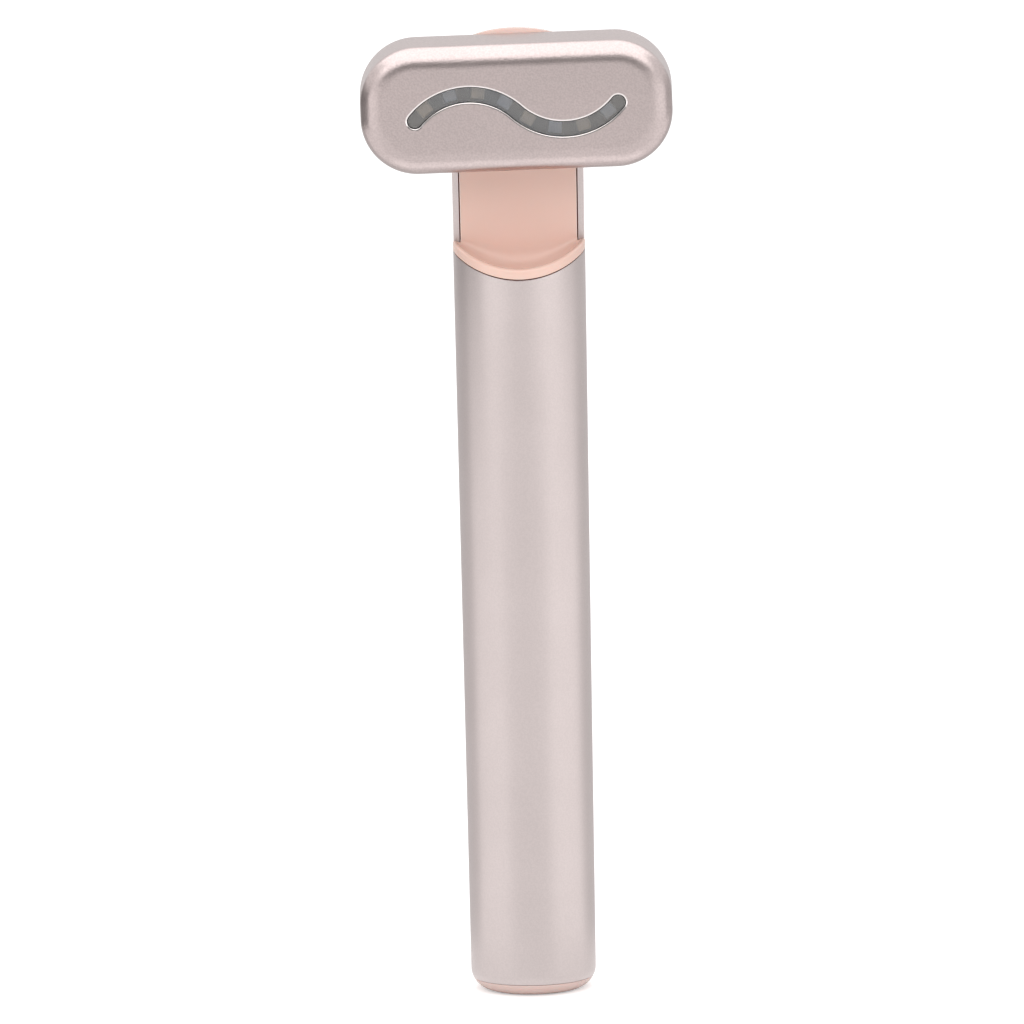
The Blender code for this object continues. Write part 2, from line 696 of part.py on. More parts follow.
def make_charge_port():
    top = PORT_RECESS + PORT_LENGTH
    shell = flat_solid(
        "charge_port_shell",
        rounded_rectangle(PORT_WIDTH, PORT_HEIGHT, PORT_HEIGHT / 2),
        PORT_RECESS,
        top,
        STEEL,
    )
    width = PORT_WIDTH - 2 * PORT_WALL
    height = PORT_HEIGHT - 2 * PORT_WALL
    socket = flat_solid(
        "port_socket",
        rounded_rectangle(width, height, height / 2),
        PORT_RECESS - CUT_OVERRUN,
        top + CUT_OVERRUN,
    )
    combine(shell, "DIFFERENCE", socket)
    half = TONGUE_WIDTH / 2
    thin = TONGUE_THICKNESS / 2
    low = PORT_RECESS + TONGUE_RECESS
    tongue = block("charge_port_tongue", (-half, -thin, low), (half, thin, top), CHIP_BLACK)
    root_height = height - 2 * GAP
    root = flat_solid(
        "tongue_root",
        rounded_rectangle(width - 2 * GAP, root_height, root_height / 2),
        top - TONGUE_ROOT,
        top,
    )
    combine(tongue, "UNION", root)


def chip(name, size, z, material):
    """A square-cornered package on the front of the main board."""
    width, height, depth = size
    back = BOARD_FRONT_Y - GAP
    block(
        name,
        (-width / 2, back - depth, z - height / 2),
        (width / 2, back, z + height / 2),
        material,
        PACKAGE_EDGE,
    )


def make_main_board():
    half = BOARD_WIDTH / 2
    block(
        "main_board",
        (-half, BOARD_FRONT_Y, BOARD_BOTTOM_Z),
        (half, BOARD_BACK_Y, BOARD_TOP_Z),
        BOARD_GREEN,
    )
    first = CELL_TOP_Z + CHIP_SPACING
    chip("charge_chip", CHARGE_CHIP, first, CHIP_BLACK)
    chip("boost_inductor", INDUCTOR, first + CHIP_SPACING, RUBBER)
    chip("control_chip", CONTROL_CHIP, first + 2 * CHIP_SPACING, CHIP_BLACK)
    low = first + 3 * CHIP_SPACING - CAPACITOR_LENGTH / 2
    capacitor = cylinder("board_capacitor", CAPACITOR_RADIUS, low, low + CAPACITOR_LENGTH, STEEL)
    place(capacitor, (0.0, BOARD_FRONT_Y - GAP - CAPACITOR_RADIUS, 0.0))


def make_contact_spring():
    """The sprung wire that joins the board to the metal tube."""
    board_y = BOARD_FRONT_Y - GAP - CONTACT_WIRE_RADIUS
    low = CELL_TOP_Z + 4 * CHIP_SPACING + CONTACT_FOOT
    wall_z = low + CONTACT_FOOT + CONTACT_RISE
    wall_y = -bore_radius(wall_z) + GAP + CONTACT_WIRE_RADIUS
    points = [
        (0.0, board_y, low),
        (0.0, board_y, low + CONTACT_FOOT),
        (0.0, wall_y, wall_z),
        (0.0, wall_y, wall_z + CONTACT_FOOT / 2),
    ]
    wire("contact_spring", points, CONTACT_WIRE_RADIUS, STEEL)


def make_battery():
    profile = [
        (0.0, CELL_TOP_Z + CELL_NUB_RISE),
        (CELL_NUB_RADIUS, CELL_TOP_Z + CELL_NUB_RISE),
        (CELL_NUB_RADIUS, CELL_TOP_Z),
        (CELL_RADIUS - CELL_EDGE, CELL_TOP_Z),
        (CELL_RADIUS, CELL_TOP_Z - CELL_EDGE),
        (CELL_RADIUS, CELL_BOTTOM_Z + CELL_EDGE),
        (CELL_RADIUS - CELL_EDGE, CELL_BOTTOM_Z),
        (0.0, CELL_BOTTOM_Z),
    ]
    place(turned("battery_cell", profile, CELL_WRAP, steps=SMALL_STEPS), (0.0, CELL_Y, 0.0))
    outline = rounded_rectangle(TAB_SIDE, TAB_SIDE, TAB_CORNER, 1)
    upper = CELL_TOP_Z + CELL_NUB_RISE + GAP
    place(flat_solid("battery_tab_top", outline, upper, upper + TAB_THICKNESS, STEEL), (0.0, CELL_Y, 0.0))
    lower = CELL_BOTTOM_Z - GAP
    place(flat_solid("battery_tab_bottom", outline, lower - TAB_THICKNESS, lower, STEEL), (0.0, CELL_Y, 0.0))
    start = upper + TAB_THICKNESS + GAP + LEAD_RADIUS
    board_y = BOARD_FRONT_Y - GAP - LEAD_RADIUS
    wire(
        "battery_lead",
        [(0.0, CELL_Y, start), (0.0, board_y - CELL_RADIUS / 2, start), (0.0, board_y, start + LEAD_RADIUS)],
        LEAD_RADIUS,
        LEAD_JACKET,
    )


def make_carrier():
    """The half shell behind the board that keeps it in the middle of the tube."""
    outer = bore_radius(0.0) - GAP
    top = BUTTON_Z - BEZEL_RADIUS - CARRIER_TOP_GAP
    low = SKIRT_TOP_Z + GAP
    carrier = turned(
        "inner_carrier", ring_profile(outer, outer - CARRIER_WALL, low, top), CARRIER_WHITE, closed=True
    )
    front = BOARD_BACK_Y + GAP
    ahead = front_and_back("ahead_of_carrier", front, low - CUT_OVERRUN, DOME_Z, True)
    combine(carrier, "DIFFERENCE", ahead)


def make_switch():
    """The switch behind the button, with a well for its plunger, whose lowest height is returned."""
    back = BOARD_BACK_Y + GAP
    half = SWITCH_SIDE / 2
    body = block(
        "switch_body",
        (-half, back, BUTTON_Z - half),
        (half, back + SWITCH_HEIGHT, BUTTON_Z + half),
        CHIP_BLACK,
        PACKAGE_EDGE,
    )
    well = back + SWITCH_HEIGHT - SWITCH_STEM_DEPTH - GAP
    hole = cylinder(
        "switch_well", SWITCH_STEM_RADIUS + GAP, well, back + SWITCH_HEIGHT + CUT_OVERRUN
    )
    place(hole, (0.0, 0.0, BUTTON_Z), FACE_BACK)
    combine(body, "DIFFERENCE", hole)
    return well + BUTTON_TRAVEL + GAP


def make_power_button(stem_low):
    """The button, made along Z about its own axis and turned to face back."""
    face = handle_radius(BUTTON_Z) + BUTTON_PROUD
    flange_high = face - BUTTON_CAP_LENGTH
    flange_low = flange_high - BUTTON_FLANGE_THICKNESS
    stem_high = flange_low - BUTTON_STEM_RADIUS / 2
    flange = BUTTON_RADIUS + BUTTON_FLANGE
    profile = [
        (0.0, face),
        (BUTTON_RADIUS - BUTTON_EDGE, face),
        (BUTTON_RADIUS, face - BUTTON_EDGE),
        (BUTTON_RADIUS, flange_high),
        (flange, flange_high),
        (flange, flange_low),
        (BUTTON_STEM_RADIUS, flange_low),
        (BUTTON_STEM_RADIUS, stem_high),
        (0.0, stem_high),
    ]
    button = turned("power_button", profile, PEACH, steps=RING_STEPS)
    place(button, (0.0, 0.0, BUTTON_Z), FACE_BACK)
    stem = cylinder("switch_plunger", SWITCH_STEM_RADIUS, stem_low, stem_high - GAP, CARRIER_WHITE)
    place(stem, (0.0, 0.0, BUTTON_Z), FACE_BACK)
    outer_face = handle_radius(BUTTON_Z) + BEZEL_PROUD
    bezel_profile = [
        (BEZEL_RADIUS - BEZEL_EDGE, outer_face),
        (BEZEL_RADIUS, outer_face - BEZEL_EDGE),
        (BEZEL_RADIUS, flange_high + GAP),
        (BEZEL_BORE_RADIUS, flange_high + GAP),
        (BEZEL_BORE_RADIUS, outer_face),
    ]
    bezel = turned("button_bezel", bezel_profile, ROSE_METAL, closed=True, steps=RING_STEPS)
    place(bezel, (0.0, 0.0, BUTTON_Z), FACE_BACK)


def head_form(name, inset, front, back, front_round, back_round, material=None):
    """The head's outline, moved in by an inset and given rounded rims."""
    outline = rounded_rectangle(
        HEAD_WIDTH - 2 * inset, HEAD_HEIGHT - 2 * inset, HEAD_CORNER_RADIUS - inset, ARC_STEPS + 2
    )
    item = flat_solid(name, outline, -back, -front, material)
    rims = {-front: (front_round, ARC_STEPS), -back: (back_round, BACK_EDGE_STEPS)}
    soften_rims(item, {height: rim for height, rim in rims.items() if rim[0]})
    return on_head(item)


def boss_places():
    return [(x, z) for x in (-BOSS_X, BOSS_X) for z in (-BOSS_Z, BOSS_Z)]


def make_head_shell():
    """The metal cup with the face, its curved slot, and four posts for the light board."""
    shell = head_form(
        "head_shell", 0.0, HEAD_FRONT_Y, HEAD_BACK_Y, HEAD_FRONT_ROUND, HEAD_BACK_ROUND, ROSE_METAL
    )
    hollow = head_form(
        "head_hollow",
        HEAD_WALL,
        HEAD_FLOOR_Y,
        HEAD_BACK_Y + CUT_OVERRUN,
        HEAD_FRONT_ROUND - HEAD_WALL,
        0.0,
    )
    slot = head_slab(
        "light_slot", slot_outline(SLOT_WIDTH / 2), HEAD_FRONT_Y - CUT_OVERRUN, HEAD_FLOOR_Y + CUT_OVERRUN
    )
    combine(shell, "DIFFERENCE", hollow, slot)
    post_front = HEAD_FRONT_Y + HEAD_WALL / 2
    post_back = LIGHT_BOARD_FRONT_Y - GAP
    for number, (x, z) in enumerate(boss_places(), 1):
        post = head_disc(f"board_post_{number}", BOSS_RADIUS, post_front, post_back, None, x, z)
        combine(shell, "UNION", post)
    for number, (x, z) in enumerate(boss_places(), 1):
        bore = head_disc(
            f"post_bore_{number}",
            BOARD_SCREW_RADIUS + GAP / 2,
            post_back - BOARD_SCREW_BITE - GAP,
            post_back + CUT_OVERRUN,
            None,
            x,
            z,
        )
        combine(shell, "DIFFERENCE", bore)


def make_head_back_cover():
    inset = HEAD_WALL + GAP
    cover = head_form("head_back_cover", inset, COVER_FRONT_Y, HEAD_BACK_Y, 0.0, GAP, PEACH)
    hole = head_disc(
        "spindle_hole",
        SPINDLE_RADIUS + GAP,
        COVER_FRONT_Y - CUT_OVERRUN,
        HEAD_BACK_Y + CUT_OVERRUN,
        steps=RING_STEPS,
    )
    combine(cover, "DIFFERENCE", hole)
    for number, (x, z) in enumerate(spindle_screw_places(), 1):
        bore = head_disc(
            f"cover_bore_{number}",
            SCREW_RADIUS + GAP / 2,
            COVER_FRONT_Y - CUT_OVERRUN,
            COVER_FRONT_Y + SCREW_BITE + GAP,
            None,
            x,
            z,
        )
        combine(cover, "DIFFERENCE", bore)


def make_light_window():
    """The smoky window: a raised band that fills the slot, on a wider foot behind the face."""
    foot = head_slab(
        "light_window",
        slot_outline(SLOT_WIDTH / 2 + WINDOW_FLANGE),
        WINDOW_FLANGE_FRONT_Y,
        WINDOW_BACK_Y,
        SMOKY,
    )
    band = head_slab(
        "window_band",
        slot_outline(SLOT_WIDTH / 2 - WINDOW_GAP),
        HEAD_FRONT_Y + WINDOW_RECESS,
        WINDOW_BACK_Y - WINDOW_FLANGE_THICKNESS / 2,
    )
    combine(foot, "UNION", band)


def make_heater_film():
    """The heater behind the face, cut out around the window and the four posts."""
    margin = HEAD_FRONT_ROUND + HEATER_MARGIN
    film = head_form(
        "heater_film",
        margin,
        WINDOW_FLANGE_FRONT_Y,
        WINDOW_FLANGE_FRONT_Y + HEATER_THICKNESS,
        0.0,
        0.0,
        HEATER_FILM,
    )
    front = WINDOW_FLANGE_FRONT_Y - CUT_OVERRUN
    back = WINDOW_BACK_Y + CUT_OVERRUN
    around = head_slab("window_relief", slot_outline(SLOT_WIDTH / 2 + WINDOW_FLANGE + GAP), front, back)
    combine(film, "DIFFERENCE", around)
    for number, (x, z) in enumerate(boss_places(), 1):
        relief = head_disc(f"post_relief_{number}", BOSS_RADIUS + GAP, front, back, None, x, z)
        combine(film, "DIFFERENCE", relief)


def make_light_board():
    margin = HEAD_WALL + LIGHT_BOARD_MARGIN
    board = head_form(
        "light_board", margin, LIGHT_BOARD_FRONT_Y, LIGHT_BOARD_BACK_Y, 0.0, 0.0, BOARD_GREEN
    )
    for number, (x, z) in enumerate(boss_places(), 1):
        hole = head_disc(
            f"board_hole_{number}",
            BOARD_SCREW_RADIUS + GAP,
            LIGHT_BOARD_FRONT_Y - CUT_OVERRUN,
            LIGHT_BOARD_BACK_Y + CUT_OVERRUN,
            None,
            x,
            z,
        )
        combine(board, "DIFFERENCE", hole)
        screw_profile = [
            (0.0, -LIGHT_BOARD_BACK_Y - GAP - BOARD_SCREW_HEAD),
            (BOARD_SCREW_HEAD_RADIUS, -LIGHT_BOARD_BACK_Y - GAP - BOARD_SCREW_HEAD),
            (BOARD_SCREW_HEAD_RADIUS, -LIGHT_BOARD_BACK_Y - GAP),
            (BOARD_SCREW_RADIUS, -LIGHT_BOARD_BACK_Y - GAP),
            (BOARD_SCREW_RADIUS, -LIGHT_BOARD_FRONT_Y + GAP + BOARD_SCREW_BITE),
            (0.0, -LIGHT_BOARD_FRONT_Y + GAP + BOARD_SCREW_BITE),
        ]
        screw = turned(f"board_screw_{number}", screw_profile[::-1], STEEL, steps=SCREW_STEPS)
        on_head(screw, x, z)


def light_places():
    """Where the lights sit along the slot, with their headings."""
    for i in range(LIGHT_COUNT):
        along = (i - (LIGHT_COUNT - 1) / 2) * LIGHT_PITCH
        heading = SLOT_MIDDLE_SLOPE - abs(along) / SLOT_ARC_RADIUS
        x = SLOT_ARC_RADIUS * (math.sin(SLOT_MIDDLE_SLOPE) - math.sin(heading))
        z = SLOT_ARC_RADIUS * (math.cos(heading) - math.cos(SLOT_MIDDLE_SLOPE))
        side = 1 if along > 0 else -1
        yield side * x, -side * z - SLOT_DROP, -heading


def make_lights():
    length, width, depth = LIGHT_SIZE
    back = LIGHT_BOARD_FRONT_Y - GAP
    for number, (x, z, heading) in enumerate(light_places(), 1):
        light = block(
            f"light_{number}",
            (-length / 2, -width / 2, -back),
            (length / 2, width / 2, depth - back),
            LIGHT_BODY,
            PACKAGE_EDGE,
        )
        place(light, (x, 0.0, z), (math.pi / 2, -heading, 0.0), HEAD_PIVOT)


def make_thermistor():
    width, height, depth = THERMISTOR
    back = LIGHT_BOARD_FRONT_Y - GAP
    sensor = block(
        "thermistor",
        (-width / 2, -height / 2, -back),
        (width / 2, height / 2, depth - back),
        CHIP_BLACK,
        PACKAGE_EDGE,
    )
    on_head(sensor, SLOT_ARC_RADIUS / 2, BOSS_Z)


def make_motor():
    """The vibration motor across the head, in its rubber sleeve, with its half-round weight."""
    can = cylinder("motor_can", MOTOR_RADIUS, 0.0, MOTOR_LENGTH, STEEL)
    place(can, (MOTOR_START_X, MOTOR_Y, 0.0), FACE_RIGHT, HEAD_PIVOT)
    middle = MOTOR_LENGTH / 2
    sleeve = turned(
        "motor_sleeve",
        ring_profile(
            SLEEVE_RADIUS, MOTOR_RADIUS + GAP, middle - SLEEVE_LENGTH / 2, middle + SLEEVE_LENGTH / 2
        ),
        RUBBER,
        closed=True,
        steps=SMALL_STEPS,
    )
    place(sleeve, (MOTOR_START_X, MOTOR_Y, 0.0), FACE_RIGHT, HEAD_PIVOT)
    weight = cylinder("motor_weight", WEIGHT_RADIUS, WEIGHT_COLLAR, WEIGHT_COLLAR + WEIGHT_LENGTH, BRASS)
    place(weight, (MOTOR_END_X + GAP, MOTOR_Y, 0.0), FACE_RIGHT, HEAD_PIVOT)
    reach = WEIGHT_RADIUS + CUT_OVERRUN
    upper_half = block("weight_upper_half", (-reach, -reach, 0.0), (0.0, reach, WEIGHT_LENGTH + CUT_OVERRUN))
    place(upper_half, weight.location, FACE_RIGHT, HEAD_PIVOT)
    hub = cylinder("weight_hub", WEIGHT_HUB_RADIUS, 0.0, 2 * WEIGHT_COLLAR + WEIGHT_LENGTH)
    place(hub, weight.location, FACE_RIGHT, HEAD_PIVOT)
    combine(weight, "DIFFERENCE", upper_half)
    combine(weight, "UNION", hub)


def spindle_screw_places():
    angles = [math.pi / 2 + 2 * math.pi * i / SPINDLE_SCREWS for i in range(SPINDLE_SCREWS)]
    return [(SCREW_CIRCLE_RADIUS * math.cos(a), SCREW_CIRCLE_RADIUS * math.sin(a)) for a in angles]


def make_spindle():
    """The hollow spindle, with a flange inside the head and a groove for its clip."""
    groove_front = CLIP_Y - GAP
    groove_back = CLIP_Y + CLIP_THICKNESS + GAP
    groove = SPINDLE_RADIUS - CLIP_GROOVE
    profile = [
        (SPINDLE_FLANGE_RADIUS, -SPINDLE_FLANGE_FRONT_Y),
        (SPINDLE_FLANGE_RADIUS, -SPINDLE_FLANGE_FRONT_Y - SPINDLE_FLANGE),
        (SPINDLE_RADIUS, -SPINDLE_FLANGE_FRONT_Y - SPINDLE_FLANGE),
        (SPINDLE_RADIUS, -groove_front),
        (groove, -groove_front),
        (groove, -groove_back),
        (SPINDLE_RADIUS, -groove_back),
        (SPINDLE_RADIUS, -SPINDLE_BACK_Y),
        (SPINDLE_BORE, -SPINDLE_BACK_Y),
        (SPINDLE_BORE, -SPINDLE_FLANGE_FRONT_Y),
    ]
    spindle = on_head(turned("pivot_spindle", profile, BRASS, closed=True, steps=RING_STEPS))
    screw_seat = SPINDLE_FLANGE_FRONT_Y - GAP
    for number, (x, z) in enumerate(spindle_screw_places(), 1):
        hole = head_disc(
            f"flange_hole_{number}",
            SCREW_RADIUS + GAP / 2,
            SPINDLE_FLANGE_FRONT_Y - CUT_OVERRUN,
            COVER_FRONT_Y,
            None,
            x,
            z,
        )
        combine(spindle, "DIFFERENCE", hole)
        screw_profile = [
            (0.0, -screw_seat + SCREW_HEAD),
            (SCREW_HEAD_RADIUS, -screw_seat + SCREW_HEAD),
            (SCREW_HEAD_RADIUS, -screw_seat),
            (SCREW_RADIUS, -screw_seat),
            (SCREW_RADIUS, -COVER_FRONT_Y - SCREW_BITE),
            (0.0, -COVER_FRONT_Y - SCREW_BITE),
        ]
        on_head(turned(f"spindle_screw_{number}", screw_profile, STEEL, steps=SCREW_STEPS), x, z)


def make_pivot_bush():
    """The bush in the neck panel that the spindle turns in."""
    profile = [
        (BUSH_RADIUS, -NECK_FACE_Y),
        (BUSH_RADIUS, -BUSH_FLANGE_FRONT_Y),
        (BUSH_FLANGE_RADIUS, -BUSH_FLANGE_FRONT_Y),
        (BUSH_FLANGE_RADIUS, -BUSH_BACK_Y),
        (BUSH_BORE_RADIUS, -BUSH_BACK_Y),
        (BUSH_BORE_RADIUS, -NECK_FACE_Y),
    ]
    bush = turned("pivot_bush", profile, CARRIER_WHITE, closed=True, steps=RING_STEPS)
    place(bush, (0.0, 0.0, PIVOT_Z), FACE_FORWARD)


def make_spindle_stack():
    """The two washers and the clip that hold the spindle in the bush and make its turning stiff."""
    inner = SPINDLE_RADIUS + GAP
    for name, front, material in (
        ("friction_washer", FRICTION_WASHER_Y, RUBBER),
        ("wave_washer", WAVE_WASHER_Y, STEEL),
    ):
        profile = ring_profile(WASHER_RADIUS, inner, -front - WASHER_THICKNESS, -front)
        on_head(turned(name, profile, material, closed=True, steps=RING_STEPS))
    groove = SPINDLE_RADIUS - CLIP_GROOVE
    profile = ring_profile(WASHER_RADIUS, groove + GAP, -CLIP_Y - CLIP_THICKNESS, -CLIP_Y)
    clip = on_head(turned("retaining_clip", profile, STEEL, closed=True, steps=RING_STEPS))
    half = CLIP_MOUTH / 2
    mouth = block(
        "clip_mouth",
        (-half, -WASHER_RADIUS - CUT_OVERRUN, -SPINDLE_BACK_Y),
        (half, 0.0, -WAVE_WASHER_Y),
    )
    combine(clip, "DIFFERENCE", on_head(mouth))


def make_head_lead():
    """The lead that runs down behind the neck panel from the hollow spindle to the main board."""
    start = SPINDLE_FLANGE_FRONT_Y - HEAD_LEAD_END_GAP
    down_y = SPINDLE_BACK_Y + GAP + HEAD_LEAD_RADIUS
    board_y = BOARD_BACK_Y + GAP + HEAD_LEAD_RADIUS
    points = [
        (0.0, start, PIVOT_Z),
        (0.0, down_y - HEAD_LEAD_RADIUS / 2, PIVOT_Z),
        (0.0, down_y, PIVOT_Z - HEAD_LEAD_RADIUS / 2),
        (0.0, down_y, LIP_TOP_Z + HEAD_LEAD_BEND),
        (HEAD_LEAD_OFFSET, board_y, PLUG_BOTTOM_Z),
        (HEAD_LEAD_OFFSET, board_y, BOARD_TOP_Z - HEAD_LEAD_BEND),
    ]
    wire("head_lead", points, HEAD_LEAD_RADIUS, LEAD_JACKET)


make_handle_tube()
make_neck_panel()
make_neck_top_cap()
make_base_cap()
make_base_seal()
make_charge_port()
make_main_board()
make_contact_spring()
make_battery()
make_carrier()
make_power_button(make_switch())
make_head_shell()
make_head_back_cover()
make_light_window()
make_heater_film()
make_light_board()
make_lights()
make_thermistor()
make_motor()
make_spindle()
make_pivot_bush()
make_spindle_stack()
make_head_lead()
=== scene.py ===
"""The looks of a heated eye massager wand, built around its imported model.

Lengths are in metres. The handle stands on its base at the origin and the head's face looks along -Y.
"""

import math

import bmesh
import bpy
from mathutils import Matrix, Vector


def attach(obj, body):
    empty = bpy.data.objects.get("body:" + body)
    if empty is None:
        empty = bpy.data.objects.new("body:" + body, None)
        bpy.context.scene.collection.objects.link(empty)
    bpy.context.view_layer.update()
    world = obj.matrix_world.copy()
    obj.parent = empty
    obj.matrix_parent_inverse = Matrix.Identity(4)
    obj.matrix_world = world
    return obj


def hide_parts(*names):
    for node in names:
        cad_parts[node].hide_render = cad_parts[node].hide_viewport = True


MM = 0.001

# Camera; PIXEL is the real size of one pixel at the target
IMAGE_PIXELS = 1024
PIXEL = 0.175 * MM
CAMERA_ELEVATION = math.radians(10.0)
CAMERA_ROLL = math.radians(1.157)
CAMERA_TARGET = Vector((-2.18 * MM, 0.0, 84.57 * MM))
CAMERA_DISTANCE = 7.2
SENSOR_WIDTH = 36.0

# Handle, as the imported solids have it
HANDLE_BASE_RADIUS = 10.9 * MM
HANDLE_TAPER = 0.005
TUBE_WALL = 1.1 * MM
TUBE_BOTTOM_Z = 2.2 * MM
TUBE_TOP_Z = 164.9 * MM
BASE_EDGE_ROUND = 3.8 * MM
CAP_CORE_Z = 1.6 * MM
INLET_WIDTH = 9.38 * MM
INLET_HEIGHT = 3.7 * MM
DOME_Z = 165.2 * MM
DOME_RISE = 5.0 * MM
GAP = 0.3 * MM

# Base cap and dome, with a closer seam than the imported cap's and without the hidden skirts
CAP_TOP_Z = 2.12 * MM
CAP_STEP = 0.1 * MM
CAP_EDGE = 0.12 * MM
DOME_PLUG = 1.2 * MM
DOME_EDGE = 0.25 * MM

# Panel and bowl; a reach is a distance from the handle's axis
NECK_FACE_Y = 1.4 * MM
PANEL_BACK_Y = 2.9 * MM
PANEL_PLAY = 0.15 * MM
PLUG_BOTTOM_Z = 123.701 * MM
SCOOP_RADIUS = 18.45 * MM
SCOOP_CENTRE_Z = 147.951 * MM
LIP_HEIGHT = 1.75 * MM
LIP_ROUND = 0.75 * MM
RIM_GAP = 0.19 * MM
BOWL_REACH = 11.6 * MM
BOWL_DROP = 2.8 * MM
BOWL_RISE = 2.4 * MM
BOWL_LOW_SHARE = 0.62
BOWL_HALF_WIDTH = 16 * MM
BOWL_TOP_Z = 185 * MM

# Head, about its pivot; the sweep is the room that its turning ends need
PIVOT_Z = 158.2 * MM
HEAD_TURN = math.radians(1.1)
HEAD_WIDTH = 54.5 * MM
HEAD_HEIGHT = 22.5 * MM
HEAD_CORNER = 9.95 * MM
HEAD_FRONT_Y = -13.5 * MM
HEAD_BACK_Y = 1.0 * MM
HEAD_WALL = 1.2 * MM
FRONT_ROUND = 3.2 * MM
BACK_ROUND = 0.8 * MM
FACE_RIM = 0.15 * MM
COVER_THICKNESS = 2.0 * MM
COVER_EDGE = 0.35 * MM
SPINDLE_HOLE = 3.3 * MM
SWEEP_RADIUS = 27.7 * MM
SWEEP_DEPTH = 1.2 * MM
SWEEP_FILLET = 2.4 * MM

# Slot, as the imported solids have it
SLOT_HALF_WIDTH = 1.4 * MM
SLOT_DROP = 0.45 * MM
SLOT_SWING = 16.84 * MM
SLOT_CREST = 3.34 * MM
SLOT_TAIL = 1.37 * MM
SLOT_SLOPE = 2 * math.atan(2 * SLOT_CREST / SLOT_SWING)
SLOT_RADIUS = SLOT_SWING / (2 * math.sin(SLOT_SLOPE))
SLOT_ANGLE = 2 * SLOT_SLOPE + SLOT_TAIL / SLOT_RADIUS

# Slot's chamfer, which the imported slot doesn't have, and the window in it
CHAMFER_WIDTH = 0.24 * MM
CHAMFER_DEPTH = CHAMFER_WIDTH * 0.46
SLOT_RIM = 0.08 * MM
WINDOW_HALF_WIDTH = 1.25 * MM
WINDOW_RECESS = 0.15 * MM
WINDOW_EDGE = 0.14 * MM
WINDOW_TAIL = 0.95 * MM

# Button and ring, about an axis that leaves the handle's back
BUTTON_Z = 117.201 * MM
BUTTON_HOLE = 5.3 * MM
BUTTON_STAND = 0.5 * MM
BUTTON_LENGTH = 3.1 * MM
RING_STAND = 0.25 * MM
BUTTON_PLACE = Matrix.Translation((0.0, 0.0, BUTTON_Z)) @ Matrix.Rotation(-math.pi / 2, 4, "X")

# Meshes in general
AROUND = 288
SHARP_ANGLE = math.radians(35)
EDGE_ROUND = 0.16 * MM
SHORTEST_EDGE = 0.05 * MM
TOUCHING = 0.01 * MM
RIM_ANGLE = 0.9
RIM_LOW_Z = 100 * MM
ON_AXIS = 1e-9
WELD = 0.0005 * MM
PAST_HANDLE = 20 * MM
PAST_BACK = 30 * MM
LONG_WALL_ROW = 3 * MM

# Specks in the metal, as a share of its colour
SPECK_SHADE = 0.6

# Colour sockets of a Mix node, by number
MIX_FIRST = 6
MIX_SECOND = 7
MIX_RESULT = 2

# Stage, in metres and degrees
MIDDLE = (0.0, 0.0, 90 * MM)
UNDER_HEAD = (0.0, -0.0281, 0.1259)
FLOOR_GLOW = 0.4
FLOOR_HALF = 3.0
FLOOR_Z = -0.02 * MM
RING_Z = 0.1 * MM
ARCH_HALF_WIDTH = 0.5

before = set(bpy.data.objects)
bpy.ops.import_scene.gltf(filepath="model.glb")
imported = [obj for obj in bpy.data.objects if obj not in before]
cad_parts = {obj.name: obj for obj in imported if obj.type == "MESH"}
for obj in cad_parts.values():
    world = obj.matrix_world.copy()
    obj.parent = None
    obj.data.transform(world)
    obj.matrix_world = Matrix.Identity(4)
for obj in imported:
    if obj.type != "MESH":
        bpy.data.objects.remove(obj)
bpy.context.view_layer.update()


def linear(value):
    """One channel of a colour, from 0 to 255, as linear light."""
    share = value / 255
    return share / 12.92 if share <= 0.04045 else ((share + 0.055) / 1.055) ** 2.4


def rgb(red, green, blue):
    return (linear(red), linear(green), linear(blue), 1.0)


# Meshes


def quarter_turns(steps):
    """Angles from 0 to a right angle."""
    return [math.pi / 2 * i / steps for i in range(steps + 1)]


def handle_radius(z):
    """The handle's outside: a slight taper, rounded in at the base."""
    straight = HANDLE_BASE_RADIUS + HANDLE_TAPER * z
    if z >= BASE_EDGE_ROUND:
        return straight
    below = BASE_EDGE_ROUND - z
    return straight - BASE_EDGE_ROUND + math.sqrt(BASE_EDGE_ROUND**2 - below**2)


def bore_radius(z):
    return HANDLE_BASE_RADIUS + HANDLE_TAPER * z - TUBE_WALL


def mesh_object(name, work):
    """A linked object with the mesh that was worked on."""
    mesh = bpy.data.meshes.new(name)
    work.to_mesh(mesh)
    work.free()
    item = bpy.data.objects.new(name, mesh)
    bpy.context.scene.collection.objects.link(item)
    return item


def shade(item):
    """Smooth shading that stops at sharp edges."""
    item.data.shade_smooth()
    item.data.set_sharp_from_angle(angle=SHARP_ANGLE)
    return item


def new_object(name, work):
    """A solid's object, with its faces turned outwards."""
    bmesh.ops.recalc_face_normals(work, faces=work.faces)
    return shade(mesh_object(name, work))


def bevel(item, width, segments, angle):
    """A Bevel modifier on the edges that turn by more than an angle in degrees."""
    modifier = item.modifiers.new("edges", "BEVEL")
    modifier.width = width
    modifier.segments = segments
    modifier.limit_method = "ANGLE"
    modifier.angle_limit = math.radians(angle)
    modifier.harden_normals = True
    modifier.use_clamp_overlap = True
    return item


def round_edges(work, edges, index):
    """Rounds chosen edges of a mesh in work. The new faces take a material index."""
    bmesh.ops.bevel(
        work,
        geom=edges,
        offset=EDGE_ROUND,
        offset_type="OFFSET",
        segments=2,
        profile=0.5,
        affect="EDGES",
        material=index,
    )


def even_normals(item):
    """Lets the large faces keep their own shading beside narrow rounded edges."""
    modifier = item.modifiers.new("even_normals", "WEIGHTED_NORMAL")
    modifier.keep_sharp = True
    return item


